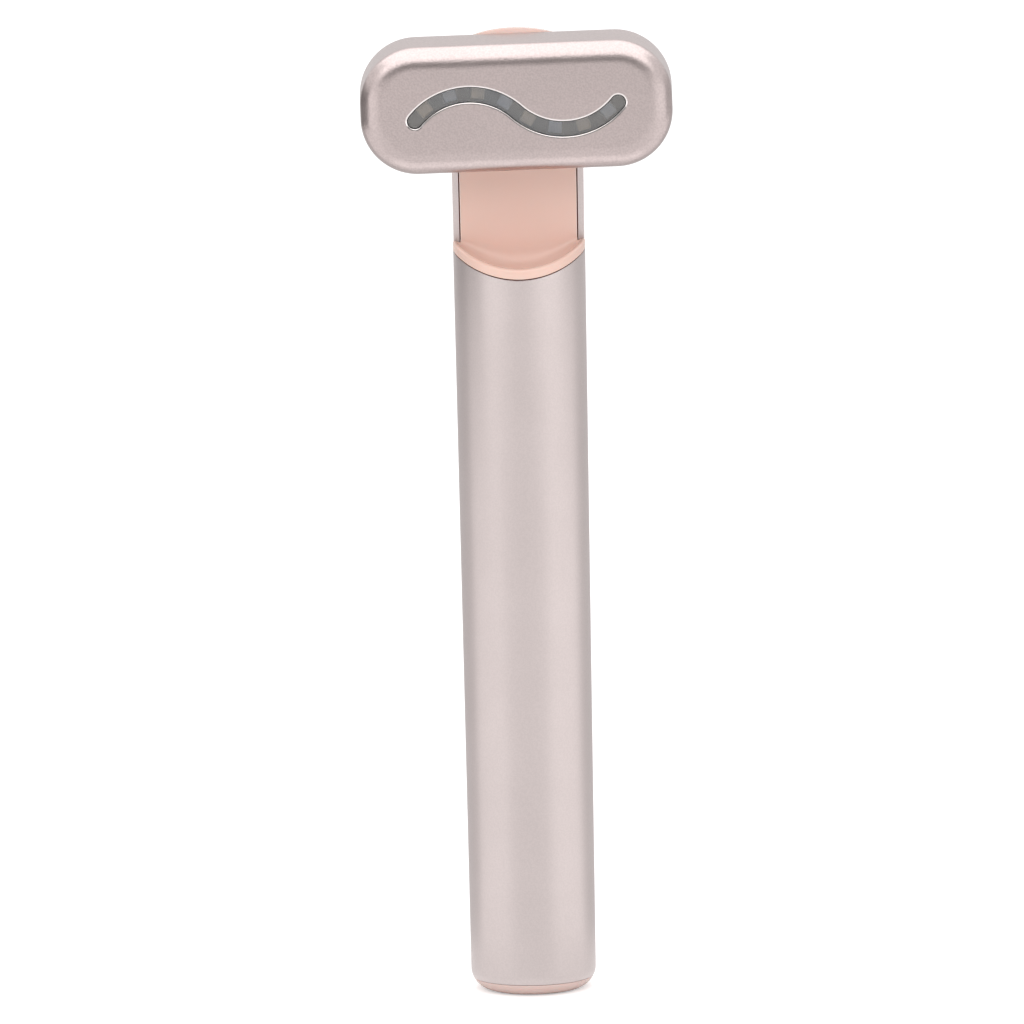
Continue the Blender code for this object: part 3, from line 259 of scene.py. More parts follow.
def evaluated_copy(item, name):
    """The object with its modifiers applied, as a new object; the old one is removed."""
    bpy.context.view_layer.update()
    graph = bpy.context.evaluated_depsgraph_get()
    mesh = bpy.data.meshes.new_from_object(item.evaluated_get(graph))
    made = bpy.data.objects.new(name, mesh)
    made.matrix_world = item.matrix_world.copy()
    bpy.context.scene.collection.objects.link(made)
    bpy.data.objects.remove(item, do_unlink=True)
    return made


def boolean(item, operation, other):
    """One solid cut by or joined to another, which is used up."""
    modifier = item.modifiers.new(other.name, "BOOLEAN")
    modifier.operation = operation
    modifier.solver = "EXACT"
    modifier.object = other
    made = evaluated_copy(item, item.name + "_cut")
    bpy.data.objects.remove(other, do_unlink=True)
    return made


def revolve(name, profile, closed=False, steps=AROUND):
    """A profile of (radius, height) points turned about Z, welded on the axis."""
    work = bmesh.new()
    rings = []
    for radius, height in profile:
        if radius <= ON_AXIS:
            rings.append([work.verts.new((0.0, 0.0, height))] * steps)
            continue
        ring = []
        for i in range(steps):
            angle = 2 * math.pi * i / steps
            ring.append(work.verts.new((radius * math.cos(angle), radius * math.sin(angle), height)))
        rings.append(ring)
    pairs = list(zip(rings, rings[1:]))
    if closed:
        pairs.append((rings[-1], rings[0]))
    for upper, lower in pairs:
        for i in range(steps):
            j = (i + 1) % steps
            corners = []
            for vert in (upper[i], upper[j], lower[j], lower[i]):
                if vert not in corners:
                    corners.append(vert)
            if len(corners) > 2:
                work.faces.new(corners)
    return new_object(name, work)


def loft(work, loops, cap_first=False, cap_last=False):
    """Quads between closed loops of the same count. Returns the loops' vertices."""
    rings = [[work.verts.new(point) for point in loop] for loop in loops]
    count = len(rings[0])
    for first, second in zip(rings, rings[1:]):
        for i in range(count):
            j = (i + 1) % count
            work.faces.new((first[i], first[j], second[j], second[i]))
    if cap_first:
        work.faces.new(rings[0])
    if cap_last:
        work.faces.new(rings[-1])
    return rings


def arc(centre, radius, start, end, steps):
    """Points on a circle, from one angle to another."""
    angles = [start + (end - start) * i / steps for i in range(steps + 1)]
    return [(centre[0] + radius * math.cos(a), centre[1] + radius * math.sin(a)) for a in angles]


def rounded_rectangle(width, height, radius, steps, straight=0):
    """An outline in X and Z, with the straight sides split so that long quads stay even."""
    x, z = width / 2 - radius, height / 2 - radius
    corners = []
    for quarter, corner in enumerate(((x, z), (-x, z), (-x, -z), (x, -z))):
        start = quarter * math.pi / 2
        corners.append(arc(corner, radius, start, start + math.pi / 2, steps))
    points = []
    for index, corner in enumerate(corners):
        points += corner
        following = corners[(index + 1) % len(corners)][0]
        last = corner[-1]
        for i in range(1, straight):
            share = i / straight
            points.append(tuple(a + (b - a) * share for a, b in zip(last, following)))
    return points


def prism(name, outline, back, front):
    """A closed outline in X and Z, from one depth on Y to another."""
    work = bmesh.new()
    loops = [[(x, y, z) for x, z in outline] for y in (back, front)]
    loft(work, loops, cap_first=True, cap_last=True)
    return new_object(name, work)


def scoop_height(x, radius, centre=SCOOP_CENTRE_Z):
    """The low side of a circle, at a place on X."""
    return centre - math.sqrt(max(radius * radius - x * x, 0.0))


def slot_path(steps=56):
    """The slot's middle line as two equal arcs, each a place in X and Z and a heading."""
    half = []
    for i in range(steps + 1):
        heading = SLOT_SLOPE - SLOT_ANGLE * i / steps
        x = SLOT_RADIUS * (math.sin(SLOT_SLOPE) - math.sin(heading))
        z = SLOT_RADIUS * (math.cos(heading) - math.cos(SLOT_SLOPE))
        half.append((x, z, heading))
    left = [((-x, z - SLOT_DROP), -heading) for x, z, heading in reversed(half)]
    right = [((x, -z - SLOT_DROP), -heading) for x, z, heading in half[1:]]
    return left + right


def slot_outline(half_width, end_steps=20):
    """The outline of a band along the slot, with round ends."""
    path = slot_path()
    upper = [(x - half_width * math.sin(turn), z + half_width * math.cos(turn)) for (x, z), turn in path]
    lower = [(x + half_width * math.sin(turn), z - half_width * math.cos(turn)) for (x, z), turn in path]
    (first, first_turn), (last, last_turn) = path[0], path[-1]
    right_end = arc(last, half_width, last_turn + math.pi / 2, last_turn - math.pi / 2, end_steps)
    left_end = arc(first, half_width, first_turn - math.pi / 2, first_turn - 3 * math.pi / 2, end_steps)
    return upper + right_end[1:-1] + list(reversed(lower)) + left_end[1:-1]


def base_profile(low, high, steps):
    """The handle's outer edge between two heights, from the top down."""
    heights = [high + (low - high) * i / steps for i in range(steps + 1)]
    return [(handle_radius(z), z) for z in heights]


def strip(work, first, second, index):
    """Quads between two neighbouring columns of vertices."""
    for a, b, c, d in zip(first, second, second[1:], first[1:]):
        work.faces.new((a, b, c, d)).material_index = index


def tube_wall(work, radius_at, depth, index):
    """One skin of the tube, as columns of vertices.

    They stand in front up to the scoop, behind up to the scoop's ends, and behind above those.
    """
    top_radius = handle_radius(TUBE_TOP_Z)
    radius = top_radius - depth
    split = math.asin(NECK_FACE_Y / top_radius)
    shift = math.asin(NECK_FACE_Y / radius) - split
    front_steps = AROUND // 2 - 4
    back_steps = AROUND // 2 + 4
    fronts = [
        math.pi - split + (math.pi + 2 * split) * i / front_steps + shift * (2 * i / front_steps - 1)
        for i in range(front_steps + 1)
    ]
    backs = [
        split + (math.pi - 2 * split) * i / back_steps + shift * (1 - 2 * i / back_steps)
        for i in range(back_steps + 1)
    ]
    cut = SCOOP_RADIUS + LIP_HEIGHT + RIM_GAP
    lows = [z for _, z in reversed(base_profile(TUBE_BOTTOM_Z, BASE_EDGE_ROUND, 14))]

    def point(angle, z):
        return work.verts.new((radius_at(z) * math.cos(angle), radius_at(z) * math.sin(angle), z))

    def column(angle, high):
        heights = lows + [lows[-1] + (high - lows[-1]) * (i / 10) for i in range(1, 11)]
        return [point(angle, z) for z in heights]

    def side_point(sign, z):
        x = math.sqrt(radius_at(z) * radius_at(z) - NECK_FACE_Y * NECK_FACE_Y)
        return work.verts.new((sign * x, NECK_FACE_Y, z))

    front = [column(a, scoop_height(radius * math.cos(a), cut)) for a in fronts]
    end_z = scoop_height(radius * math.cos(backs[0]), cut)
    low = [front[-1]] + [column(a, end_z) for a in backs[1:-1]] + [front[0]]
    for columns in (front, low):
        for first, second in zip(columns, columns[1:]):
            strip(work, first, second, index)
    heights = [end_z + (TUBE_TOP_Z - end_z) * i / 8 for i in range(1, 9)]
    high = []
    for i, angle in enumerate(backs):
        rows = [low[i][-1]]
        if i in (0, back_steps):
            rows += [side_point(1 if i == 0 else -1, z) for z in heights]
        else:
            rows += [point(angle, z) for z in heights]
        high.append(rows)
    for first, second in zip(high, high[1:]):
        strip(work, first, second, index)
    return front, low, high


def make_tube():
    """The metal tube with its scooped front. Material 1, a dark red-brown painted shade, is on the inside and
    on the low rims.
    """
    work = bmesh.new()
    outer = tube_wall(work, handle_radius, 0.0, 0)
    inner = tube_wall(work, bore_radius, TUBE_WALL, 1)
    for part, row, index in ((0, -1, 1), (0, 0, 1), (1, 0, 1), (2, -1, 0)):
        for (a, b), (c, d) in zip(zip(outer[part], outer[part][1:]), zip(inner[part], inner[part][1:])):
            work.faces.new((a[row], b[row], d[row], c[row])).material_index = index
    for end in (0, -1):
        a, b = outer[2][end], inner[2][end]
        for i in range(len(a) - 1):
            work.faces.new((a[i], a[i + 1], b[i + 1], b[i]))
    bmesh.ops.remove_doubles(work, verts=work.verts, dist=WELD)
    bmesh.ops.recalc_face_normals(work, faces=work.faces)

    def on_rim(edge):
        return edge.calc_face_angle(0.0) > RIM_ANGLE and min(vert.co.z for vert in edge.verts) > RIM_LOW_Z

    round_edges(work, [edge for edge in work.edges if on_rim(edge)], 0)
    tube = new_object("tube_stock", work)
    for _ in range(2):
        tube.data.materials.append(None)
    profile = [(0.0, PAST_BACK), (BUTTON_HOLE, PAST_BACK), (BUTTON_HOLE, 0.0), (0.0, 0.0)]
    drill = revolve("button_drill", profile, steps=96)
    drill.matrix_world = BUTTON_PLACE
    tube = boolean(tube, "DIFFERENCE", drill)
    tube.name = "wand_tube"
    return even_normals(shade(tube))


def blended_low(a, b, reach=0.8 * MM):
    """The lower of two heights, with a soft turn from one to the other."""
    near = max(reach - abs(a - b), 0.0) / reach
    return min(a, b) - near * near * reach / 4


def bowl_front(x, inset):
    """Where a line inside the handle's skin crosses a place on X.

    The last term keeps such lines apart at the sides.
    """
    return -math.sqrt(max((BOWL_REACH - inset) ** 2 - x * x, 0.0)) + 0.01 * inset


def lip_drop(x, y):
    """How far the lip's rounded inner edge falls away towards the handle's skin."""
    inside = BOWL_REACH - math.hypot(x, min(y, 0.0))
    share = 1 - min(max(inside / LIP_ROUND, 0.0), 1.0)
    return LIP_ROUND * (1 - math.sqrt(1 - share * share))


def bowl_height(x, y, start):
    """The bowl's surface: level behind the lip, lower further in, then a soft turn up into the panel."""
    share = min(max((y - start) / (NECK_FACE_Y - start), 0.0), 1.0)
    down = min(share / BOWL_LOW_SHARE, 1.0)
    up = max(share - BOWL_LOW_SHARE, 0.0) / (1 - BOWL_LOW_SHARE)
    lift = (BOWL_DROP + BOWL_RISE) * (1 - math.sqrt(1 - up * up)) - BOWL_DROP * down * down * (3 - 2 * down)
    middle = max(1 - (x / BOWL_REACH) ** 2, 0.0)
    late = min(max(y - NECK_FACE_Y + SWEEP_DEPTH, 0.0) / SWEEP_DEPTH, 1.0)
    sweep_inset = SWEEP_FILLET * (1 - math.sqrt(1 - late * late)) * middle
    level = scoop_height(x, SCOOP_RADIUS) + lift * middle
    return blended_low(level, scoop_height(x, SWEEP_RADIUS - sweep_inset, PIVOT_Z)) - lip_drop(x, y)


def solid_above(name, rows, steps=180):
    """A solid over a surface. Each row gives Y and Z for a place on X, from the front to the back."""
    half, top = BOWL_HALF_WIDTH, BOWL_TOP_Z
    across = [-half + 2 * half * i / steps for i in range(steps + 1)]
    work = bmesh.new()
    loops = []
    for row in rows:
        low = [(x, *row(x)) for x in across]
        loops.append(low + [(half, low[-1][1], top), (-half, low[0][1], top)])
    loft(work, loops, True, True)
    return new_object(name, work)


def bowl_rows():
    """Rows over the bowl: outside the handle, round the lip's inner edge, and in to the panel."""

    def lip_row(inset):
        def row(x):
            y = bowl_front(x, inset)
            return (y, bowl_height(x, y, y))

        return row

    def inner_row(share):
        def row(x):
            start = bowl_front(x, LIP_ROUND)
            y = start + (NECK_FACE_Y - start) * share
            return (y, bowl_height(x, y, start))

        return row

    rows = [lambda x: (-PAST_HANDLE, bowl_height(x, -PAST_HANDLE, 0.0))]
    rows += [lip_row(LIP_ROUND * (1 - math.cos(a))) for a in quarter_turns(10)]
    rows += [inner_row(BOWL_LOW_SHARE * i / 22) for i in range(1, 23)]
    rows += [inner_row(BOWL_LOW_SHARE + (1 - BOWL_LOW_SHARE) * math.sin(a)) for a in quarter_turns(26)[1:]]
    return rows


def cone(name, low, high, inset):
    """A solid under the handle's skin, between two heights."""
    top, bottom = handle_radius(high) - inset, handle_radius(low) - inset
    return revolve(name, [(0.0, high), (top, high), (bottom, low), (0.0, low)])


def ease_sides(body):
    """Rounds the panel's long edges beside the tube, which take a paler peach as a painted highlight. Their
    material index is 1.
    """
    work = bmesh.new()
    work.from_mesh(body.data)

    def on_side(vert):
        x, y, z = vert.co
        wall = handle_radius(z) - TUBE_WALL - PANEL_PLAY
        return abs(y - NECK_FACE_Y) < TOUCHING / 2 and abs(math.hypot(x, y) - wall) < TOUCHING

    def is_side(edge):
        return all(on_side(vert) for vert in edge.verts) and edge.calc_length() > SHORTEST_EDGE

    round_edges(work, [edge for edge in work.edges if is_side(edge)], 1)
    work.to_mesh(body.data)
    work.free()


def make_panel():
    """The peach panel, the soft floor of its bowl, and the lip round the front of the tube."""
    body = cone("panel_stock", PLUG_BOTTOM_Z, TUBE_TOP_Z, TUBE_WALL + PANEL_PLAY)
    low, high = 110 * MM, 180 * MM
    outline = [(-PAST_HANDLE, low), (PAST_HANDLE, low), (PAST_HANDLE, high), (-PAST_HANDLE, high)]
    body = boolean(body, "DIFFERENCE", prism("behind", outline, PANEL_BACK_Y, PAST_BACK))
    lip = cone("lip_stock", PLUG_BOTTOM_Z - MM, SCOOP_CENTRE_Z, 0.0)
    edge = SCOOP_RADIUS + LIP_HEIGHT
    rows = [lambda x, y=y: (y, scoop_height(x, edge)) for y in (-PAST_HANDLE, NECK_FACE_Y - GAP)]
    lip = boolean(lip, "INTERSECT", solid_above("lip_range", rows))
    body = boolean(body, "UNION", lip)
    body = boolean(body, "DIFFERENCE", solid_above("bowl", bowl_rows()))
    ease_sides(body)
    body.name = "neck_panel_shell"
    return even_normals(shade(body))


def make_dome():
    """The half dome that closes the top of the handle behind the head."""
    radius = handle_radius(DOME_Z)
    plug = radius - TUBE_WALL - GAP
    profile = [(radius * math.sin(a), DOME_Z + DOME_RISE * math.cos(a)) for a in quarter_turns(28)]
    profile += [(plug, DOME_Z), (plug, DOME_Z - DOME_PLUG), (0.0, DOME_Z - DOME_PLUG)]
    dome = revolve("dome_stock", profile)
    work = bmesh.new()
    work.from_mesh(dome.data)
    cut = bmesh.ops.bisect_plane(
        work,
        geom=work.verts[:] + work.edges[:] + work.faces[:],
        plane_co=(0.0, NECK_FACE_Y, 0.0),
        plane_no=(0.0, -1.0, 0.0),
        clear_outer=True,
    )
    rim = [item for item in cut["geom_cut"] if isinstance(item, bmesh.types.BMEdge)]
    bmesh.ops.contextual_create(work, geom=rim)
    bpy.data.objects.remove(dome, do_unlink=True)
    return bevel(new_object("neck_dome", work), DOME_EDGE, 3, 40.0)


def make_base():
    """The base cap, with its rim and the slot for the charge inlet."""
    rim = base_profile(0.0, CAP_TOP_Z, 14)
    rim[0] = (rim[0][0] - CAP_STEP, rim[0][1])
    core = bore_radius(0.0) - GAP
    profile = [(0.0, CAP_CORE_Z), (core, CAP_CORE_Z), (core, CAP_TOP_Z)] + rim + [(0.0, 0.0)]
    cap = revolve("cap_stock", profile)
    inlet = rounded_rectangle(INLET_WIDTH, INLET_HEIGHT, INLET_HEIGHT / 2, 24)
    work = bmesh.new()
    loft(work, [[(x, y, z) for x, y in inlet] for z in (-2 * MM, 4 * MM)], True, True)
    cap = boolean(cap, "DIFFERENCE", new_object("inlet_cutter", work))
    cap.name = "base_cap_shell"
    return bevel(shade(cap), CAP_EDGE, 2, 50.0)


def on_head(item):
    """Puts a piece that was made about the pivot in its place at rest."""
    turn = Matrix.Rotation(-HEAD_TURN, 4, "Y")
    item.matrix_world = Matrix.Translation((0.0, 0.0, PIVOT_Z)) @ turn
    return item


def head_loops(depths):
    """The head's outline at each (depth, inset)."""
    loops = []
    for y, inset in depths:
        width, height = HEAD_WIDTH - 2 * inset, HEAD_HEIGHT - 2 * inset
        loops.append([(x, y, z) for x, z in rounded_rectangle(width, height, HEAD_CORNER - inset, 40, 24)])
    return loops


def fill_between(work, rings):
    """A flat face between an outer ring and the rings inside it."""
    edges = []
    for ring in rings:
        for pair in zip(ring, ring[1:] + ring[:1]):
            edges.append(work.edges.get(pair) or work.edges.new(pair))
    bmesh.ops.triangle_fill(work, use_beauty=True, use_dissolve=False, edges=edges, normal=(0.0, -1.0, 0.0))


def soft_quarter(radius, ease=1.3, steps=40):
    """A quarter turn from a wall to a face that flattens out slowly, as (drop, inset) pairs."""
    points = [(0.0, 0.0)]
    for i in range(steps):
        turn = math.pi / 2 * (1 - (i + 0.5) / steps) ** ease
        drop, inset = points[-1]
        points.append((drop + math.sin(turn), inset + math.cos(turn)))
    scale = radius / points[-1][0]
    return [(drop * scale, inset * scale) for drop, inset in points]


def make_head():
    """The metal cup: a soft front edge, a flat face, and the curved slot.

    Material 1 is on the slot's chamfer and 2 on its inner walls, whose dark is painted shade.
    """
    inner_y = HEAD_BACK_Y - LONG_WALL_ROW
    depths = [(inner_y, HEAD_WALL), (HEAD_BACK_Y, HEAD_WALL), (HEAD_BACK_Y, BACK_ROUND)]
    for turn in quarter_turns(22)[1::3]:
        depths.append((HEAD_BACK_Y - BACK_ROUND * (1 - math.cos(turn)), BACK_ROUND * (1 - math.sin(turn))))
    soft = soft_quarter(FRONT_ROUND)
    soft_y = HEAD_FRONT_Y + FRONT_ROUND
    depths += [(inner_y, 0.0), (soft_y + LONG_WALL_ROW, 0.0)]
    depths += [(soft_y - drop, inset) for drop, inset in soft]
    depths.append((HEAD_FRONT_Y, soft[-1][1] + FACE_RIM))
    work = bmesh.new()
    rings = loft(work, head_loops(depths))
    flat_rim = CHAMFER_WIDTH + SLOT_RIM
    slot_depths = [(0.0, flat_rim), (0.0, CHAMFER_WIDTH), (CHAMFER_DEPTH, 0.0), (HEAD_WALL, 0.0)]
    slot_loops = []
    for depth, extra in slot_depths:
        slot_loops.append([(x, HEAD_FRONT_Y + depth, z) for x, z in slot_outline(SLOT_HALF_WIDTH + extra)])
    slot_rings = loft(work, slot_loops)
    for index in (1, 2):
        band = set(slot_rings[index] + slot_rings[index + 1])
        for face in work.faces:
            if band.issuperset(face.verts):
                face.material_index = index
    fill_between(work, [rings[-1], slot_rings[0]])
    return on_head(new_object("head_body", work))


def make_cover():
    """The plate in the back of the head, with a rounded edge and the hole for the spindle."""
    inset = HEAD_WALL + GAP
    depths = [(HEAD_BACK_Y - COVER_THICKNESS, inset)]
    for turn in quarter_turns(6):
        drop, ease = COVER_EDGE * (1 - math.sin(turn)), COVER_EDGE * (1 - math.cos(turn))
        depths.append((HEAD_BACK_Y - drop, inset + ease))
    work = bmesh.new()
    rings = loft(work, head_loops(depths), cap_first=True)
    steps = 64
    angles = [2 * math.pi * i / steps for i in range(steps)]
    hole, deep = [
        [work.verts.new((SPINDLE_HOLE * math.cos(a), y, SPINDLE_HOLE * math.sin(a))) for a in angles]
        for y in (HEAD_BACK_Y, HEAD_BACK_Y - COVER_THICKNESS * 0.9)
    ]
    for i in range(steps):
        j = (i + 1) % steps
        work.faces.new((hole[i], hole[j], deep[j], deep[i]))
    fill_between(work, [rings[-1], hole])
    return on_head(new_object("head_cover", work))


def make_window():
    """The smoky window in the slot, a little behind the face, with rounded edges."""
    front = HEAD_FRONT_Y + WINDOW_RECESS
    depths = [(HEAD_FRONT_Y + HEAD_WALL + WINDOW_TAIL, WINDOW_HALF_WIDTH)]
    for turn in quarter_turns(5):
        drop, ease = WINDOW_EDGE * (1 - math.sin(turn)), WINDOW_EDGE * (1 - math.cos(turn))
        depths.append((front + drop, WINDOW_HALF_WIDTH - ease))
    work = bmesh.new()
    loops = [[(x, y, z) for x, z in slot_outline(half)] for y, half in depths]
    loft(work, loops, cap_first=True, cap_last=True)
    return on_head(new_object("light_lens", work))


def make_button():
    """The power button, dished, and the metal ring round it."""
    face = handle_radius(BUTTON_Z) + BUTTON_STAND
    low = face - BUTTON_LENGTH
    radius, edge, dish, dish_depth = 3.8 * MM, 0.35 * MM, 3.0 * MM, 0.22 * MM
    profile = [(dish * i / 10, face - dish_depth * (1 - (i / 10) ** 2)) for i in range(11)]
    for turn in quarter_turns(8):
        profile.append((radius - edge + edge * math.sin(turn), face - edge * (1 - math.cos(turn))))
    button = revolve("power_key", profile + [(radius, low), (0.0, low)], steps=96)
    inner, outer, ring_face = 4.1 * MM, 5.0 * MM, handle_radius(BUTTON_Z) + RING_STAND
    ring_profile = [
        (inner, ring_face - 0.15 * MM),
        (inner + 0.15 * MM, ring_face),
        (outer - 0.25 * MM, ring_face),
        (outer - 0.08 * MM, ring_face - 0.07 * MM),
        (outer, ring_face - 0.25 * MM),
        (outer, low + GAP),
        (inner, low + GAP),
    ]
    ring = revolve("key_ring", ring_profile, closed=True, steps=96)
    for item in (button, ring):
        item.matrix_world = BUTTON_PLACE
    return button, ring


# Materials


def material_nodes(name):
    """A new material, its nodes and links, and its shader."""
    material = bpy.data.materials.new(name)
    material.use_nodes = True
    nodes, links = material.node_tree.nodes, material.node_tree.links
    return material, nodes, links, nodes["Principled BSDF"]


def noise(nodes, links, place, scale, detail):
    """A noise in object space, in cycles per metre."""
    texture = nodes.new("ShaderNodeTexNoise")
    texture.inputs["Scale"].default_value = scale
    texture.inputs["Detail"].default_value = detail
    links.new(place, texture.inputs["Vector"])
    return texture.outputs["Fac"]


def spread(nodes, links, value, low, high, start=0.2, end=0.8):
    """A noise value mapped to a range."""
    node = nodes.new("ShaderNodeMapRange")
    node.inputs["From Min"].default_value = start
    node.inputs["From Max"].default_value = end
    node.inputs["To Min"].default_value = low
    node.inputs["To Max"].default_value = high
    node.interpolation_type = "SMOOTHERSTEP"
    links.new(value, node.inputs["Value"])
    return node.outputs["Result"]


def mix_colour(nodes, links, factor, first, second):
    """A blend of two colours, each a tuple or a socket."""
    node = nodes.new("ShaderNodeMix")
    node.data_type = "RGBA"
    links.new(factor, node.inputs["Factor"])
    for number, value in ((MIX_FIRST, first), (MIX_SECOND, second)):
        if isinstance(value, tuple):
            node.inputs[number].default_value = value
        else:
            links.new(value, node.inputs[number])
    return node.outputs[MIX_RESULT]


def two_tones(nodes, links, value, first, second):
    """A colour that drifts between two tones with a noise."""
    return mix_colour(nodes, links, spread(nodes, links, value, 0.0, 1.0), first, second)


def bump(nodes, links, shader, layers):
    """Bump layers, one after another, each a height, its strength and its distance."""
    normal = None
    for height, strength, distance in layers:
        node = nodes.new("ShaderNodeBump")
        node.inputs["Strength"].default_value = strength
        node.inputs["Distance"].default_value = distance
        links.new(height, node.inputs["Height"])
        if normal:
            links.new(normal, node.inputs["Normal"])
        normal = node.outputs["Normal"]
    links.new(normal, shader.inputs["Normal"])


def make_metal(name, colour, second, roughness, grain, speckle, scale=3400.0):
    """Bead-blasted, anodised aluminium: a dimpled grain, tiny specks and a cloudy tone."""
    material, nodes, links, shader = material_nodes(name)
    place = nodes.new("ShaderNodeTexCoord").outputs["Object"]
    cloud = noise(nodes, links, place, 60.0, 3.0)
    fine = noise(nodes, links, place, scale, 1.0)
    coarse = noise(nodes, links, place, 1500.0, 2.0)
    tone = two_tones(nodes, links, cloud, colour, second)
    specks = spread(nodes, links, fine, 0.0, speckle, 0.3, 0.7)
    dark = tuple(value * SPECK_SHADE for value in colour[:3]) + (1.0,)
    links.new(mix_colour(nodes, links, specks, tone, dark), shader.inputs["Base Color"])
    links.new(spread(nodes, links, coarse, roughness - 0.02, roughness + 0.02), shader.inputs["Roughness"])
    shader.inputs["Metallic"].default_value = 1.0
    bump(nodes, links, shader, [(fine, 1.0, grain), (coarse, 1.0, grain * 0.6)])
    return material


def make_plastic(name, colour, second, roughness):
    """Moulded satin plastic: slight tone shifts, faint grain and a soft sheen."""
    material, nodes, links, shader = material_nodes(name)
    place = nodes.new("ShaderNodeTexCoord").outputs["Object"]
    cloud = noise(nodes, links, place, 45.0, 2.0)
    fine = noise(nodes, links, place, 1800.0, 2.0)
    wide = noise(nodes, links, place, 120.0, 2.0)
    links.new(two_tones(nodes, links, cloud, colour, second), shader.inputs["Base Color"])
    links.new(spread(nodes, links, wide, roughness - 0.03, roughness + 0.03), shader.inputs["Roughness"])
    shader.inputs["IOR"].default_value = 1.54
    shader.inputs["Subsurface Weight"].default_value = 0.2
    shader.inputs["Subsurface Radius"].default_value = (1.0, 0.5, 0.35)
    shader.inputs["Subsurface Scale"].default_value = 1.0 * MM
    bump(nodes, links, shader, [(fine, 0.05, 0.01 * MM), (wide, 0.025, 0.05 * MM)])
    return material


def make_plain(name, colour, second, roughness, metallic=0.0, scale=500.0):
    """The finish of a small or inner piece: two tones, uneven gloss and a light bump."""
    material, nodes, links, shader = material_nodes(name)
    place = nodes.new("ShaderNodeTexCoord").outputs["Object"]
    value = noise(nodes, links, place, scale, 3.0)
    links.new(two_tones(nodes, links, value, colour, second), shader.inputs["Base Color"])
    links.new(spread(nodes, links, value, roughness - 0.06, roughness + 0.06), shader.inputs["Roughness"])
    shader.inputs["Metallic"].default_value = metallic
    bump(nodes, links, shader, [(value, 0.1, 0.03 * MM)])
    return material


def make_smoke():
    """The smoky window: a tinted, slightly milky plastic that shows the lights behind it."""
    material, nodes, links, shader = material_nodes("smoky_lens")
    place = nodes.new("ShaderNodeTexCoord").outputs["Object"]
    cloud = noise(nodes, links, place, 150.0, 2.0)
    tone = two_tones(nodes, links, cloud, rgb(197, 197, 199), rgb(209, 204, 200))
    links.new(tone, shader.inputs["Base Color"])
    fine = noise(nodes, links, place, 1500.0, 2.0)
    links.new(spread(nodes, links, fine, 0.2, 0.26), shader.inputs["Roughness"])
    shader.inputs["Transmission Weight"].default_value = 0.84
    shader.inputs["IOR"].default_value = 1.49
    bump(nodes, links, shader, [(cloud, 0.04, 0.03 * MM)])
    return material


METAL = make_metal("anodised_handle", rgb(214, 202, 200), rgb(210, 198, 196), 0.36, 0.004 * MM, 0.12)
# The head's metal has a stronger grain, more specks and more gloss than the handle's, and a darker colour
# that is painted shade
HEAD_METAL = make_metal("anodised_head_painted_shade", rgb(203, 188, 186), rgb(199, 185, 183), 0.3, 0.02 * MM, 0.28, 2900.0)
BRIGHT_CUT = make_metal("bright_cut", rgb(252, 245, 243), rgb(248, 240, 238), 0.14, 0.001 * MM, 0.03)
PEACH = make_plastic("peach_moulding", rgb(229, 195, 182), rgb(226, 192, 178), 0.24)
# A paler copy of the peach as a painted highlight: on the dome, lit from above, and on the panel's rounded
# side edges
PEACH_HIGHLIGHT = make_plastic("peach_painted_highlight", rgb(238, 212, 203), rgb(235, 209, 199), 0.24)
PALE_PEACH = make_plastic("pale_peach_moulding", rgb(230, 203, 196), rgb(227, 200, 192), 0.24)
SMOKE = make_smoke()
# A dark red-brown on the bore and the low rims, as painted shade in the gaps beside the panel and under the
# lip
GAP_SHADE = make_plain("bore_painted_shade", rgb(150, 68, 50), rgb(128, 56, 42), 0.85)
STEEL = make_plain("worn_steel", rgb(186, 186, 188), rgb(160, 161, 165), 0.36, 1.0, 900.0)
BRASS = make_plain("turned_brass", rgb(196, 160, 96), rgb(178, 140, 80), 0.36, 1.0, 700.0)
# Dark moulding for the small dark parts; on the slot's inner walls the same dark is painted shade
DARK = make_plain("dark_moulding_and_slot_shade", rgb(40, 40, 42), rgb(28, 28, 30), 0.5)
RUBBER = make_plain("matt_rubber", rgb(52, 51, 51), rgb(40, 40, 40), 0.8)
BOARD = make_plain("solder_mask", rgb(62, 74, 70), rgb(48, 60, 58), 0.45)
CARRIER = make_plain("pale_carrier", rgb(208, 204, 198), rgb(196, 192, 186), 0.55)
FILM = make_plain("amber_film", rgb(158, 104, 46), rgb(140, 88, 36), 0.4)
WRAP = make_plain("cell_sleeve", rgb(84, 116, 146), rgb(70, 100, 130), 0.4)
JACKET = make_plain("lead_sleeve", rgb(156, 58, 52), rgb(138, 48, 44), 0.5)
WARM_LIGHT = make_plain("warm_package", rgb(230, 216, 196), rgb(214, 198, 174), 0.35)
COOL_LIGHT = make_plain("cool_package", rgb(196, 210, 226), rgb(182, 198, 218), 0.35)

NODE_MATERIALS = {
    STEEL: ("charge_port_shell", "board_capacitor", "contact_spring", "battery_tab_top", "battery_tab_bottom",
            "motor_can", "wave_washer", "retaining_clip"),
    BRASS: ("pivot_spindle", "motor_weight"),
    DARK: ("charge_port_tongue", "control_chip", "charge_chip", "switch_body", "thermistor"),
    RUBBER: ("base_seal_ring", "boost_inductor", "motor_sleeve", "friction_washer"),
    BOARD: ("main_board", "light_board"),
    CARRIER: ("inner_carrier", "pivot_bush", "switch_plunger"),
    FILM: ("heater_film",),
    WRAP: ("battery_cell",),
    JACKET: ("battery_lead", "head_lead"),
    PEACH: ("neck_panel", "head_back_cover", "power_button"),
    PEACH_HIGHLIGHT: ("neck_top_cap",),
    PALE_PEACH: ("base_cap",),
    METAL: ("handle_tube", "button_bezel"),
    HEAD_METAL: ("head_shell",),
    SMOKE: ("light_window",),
}


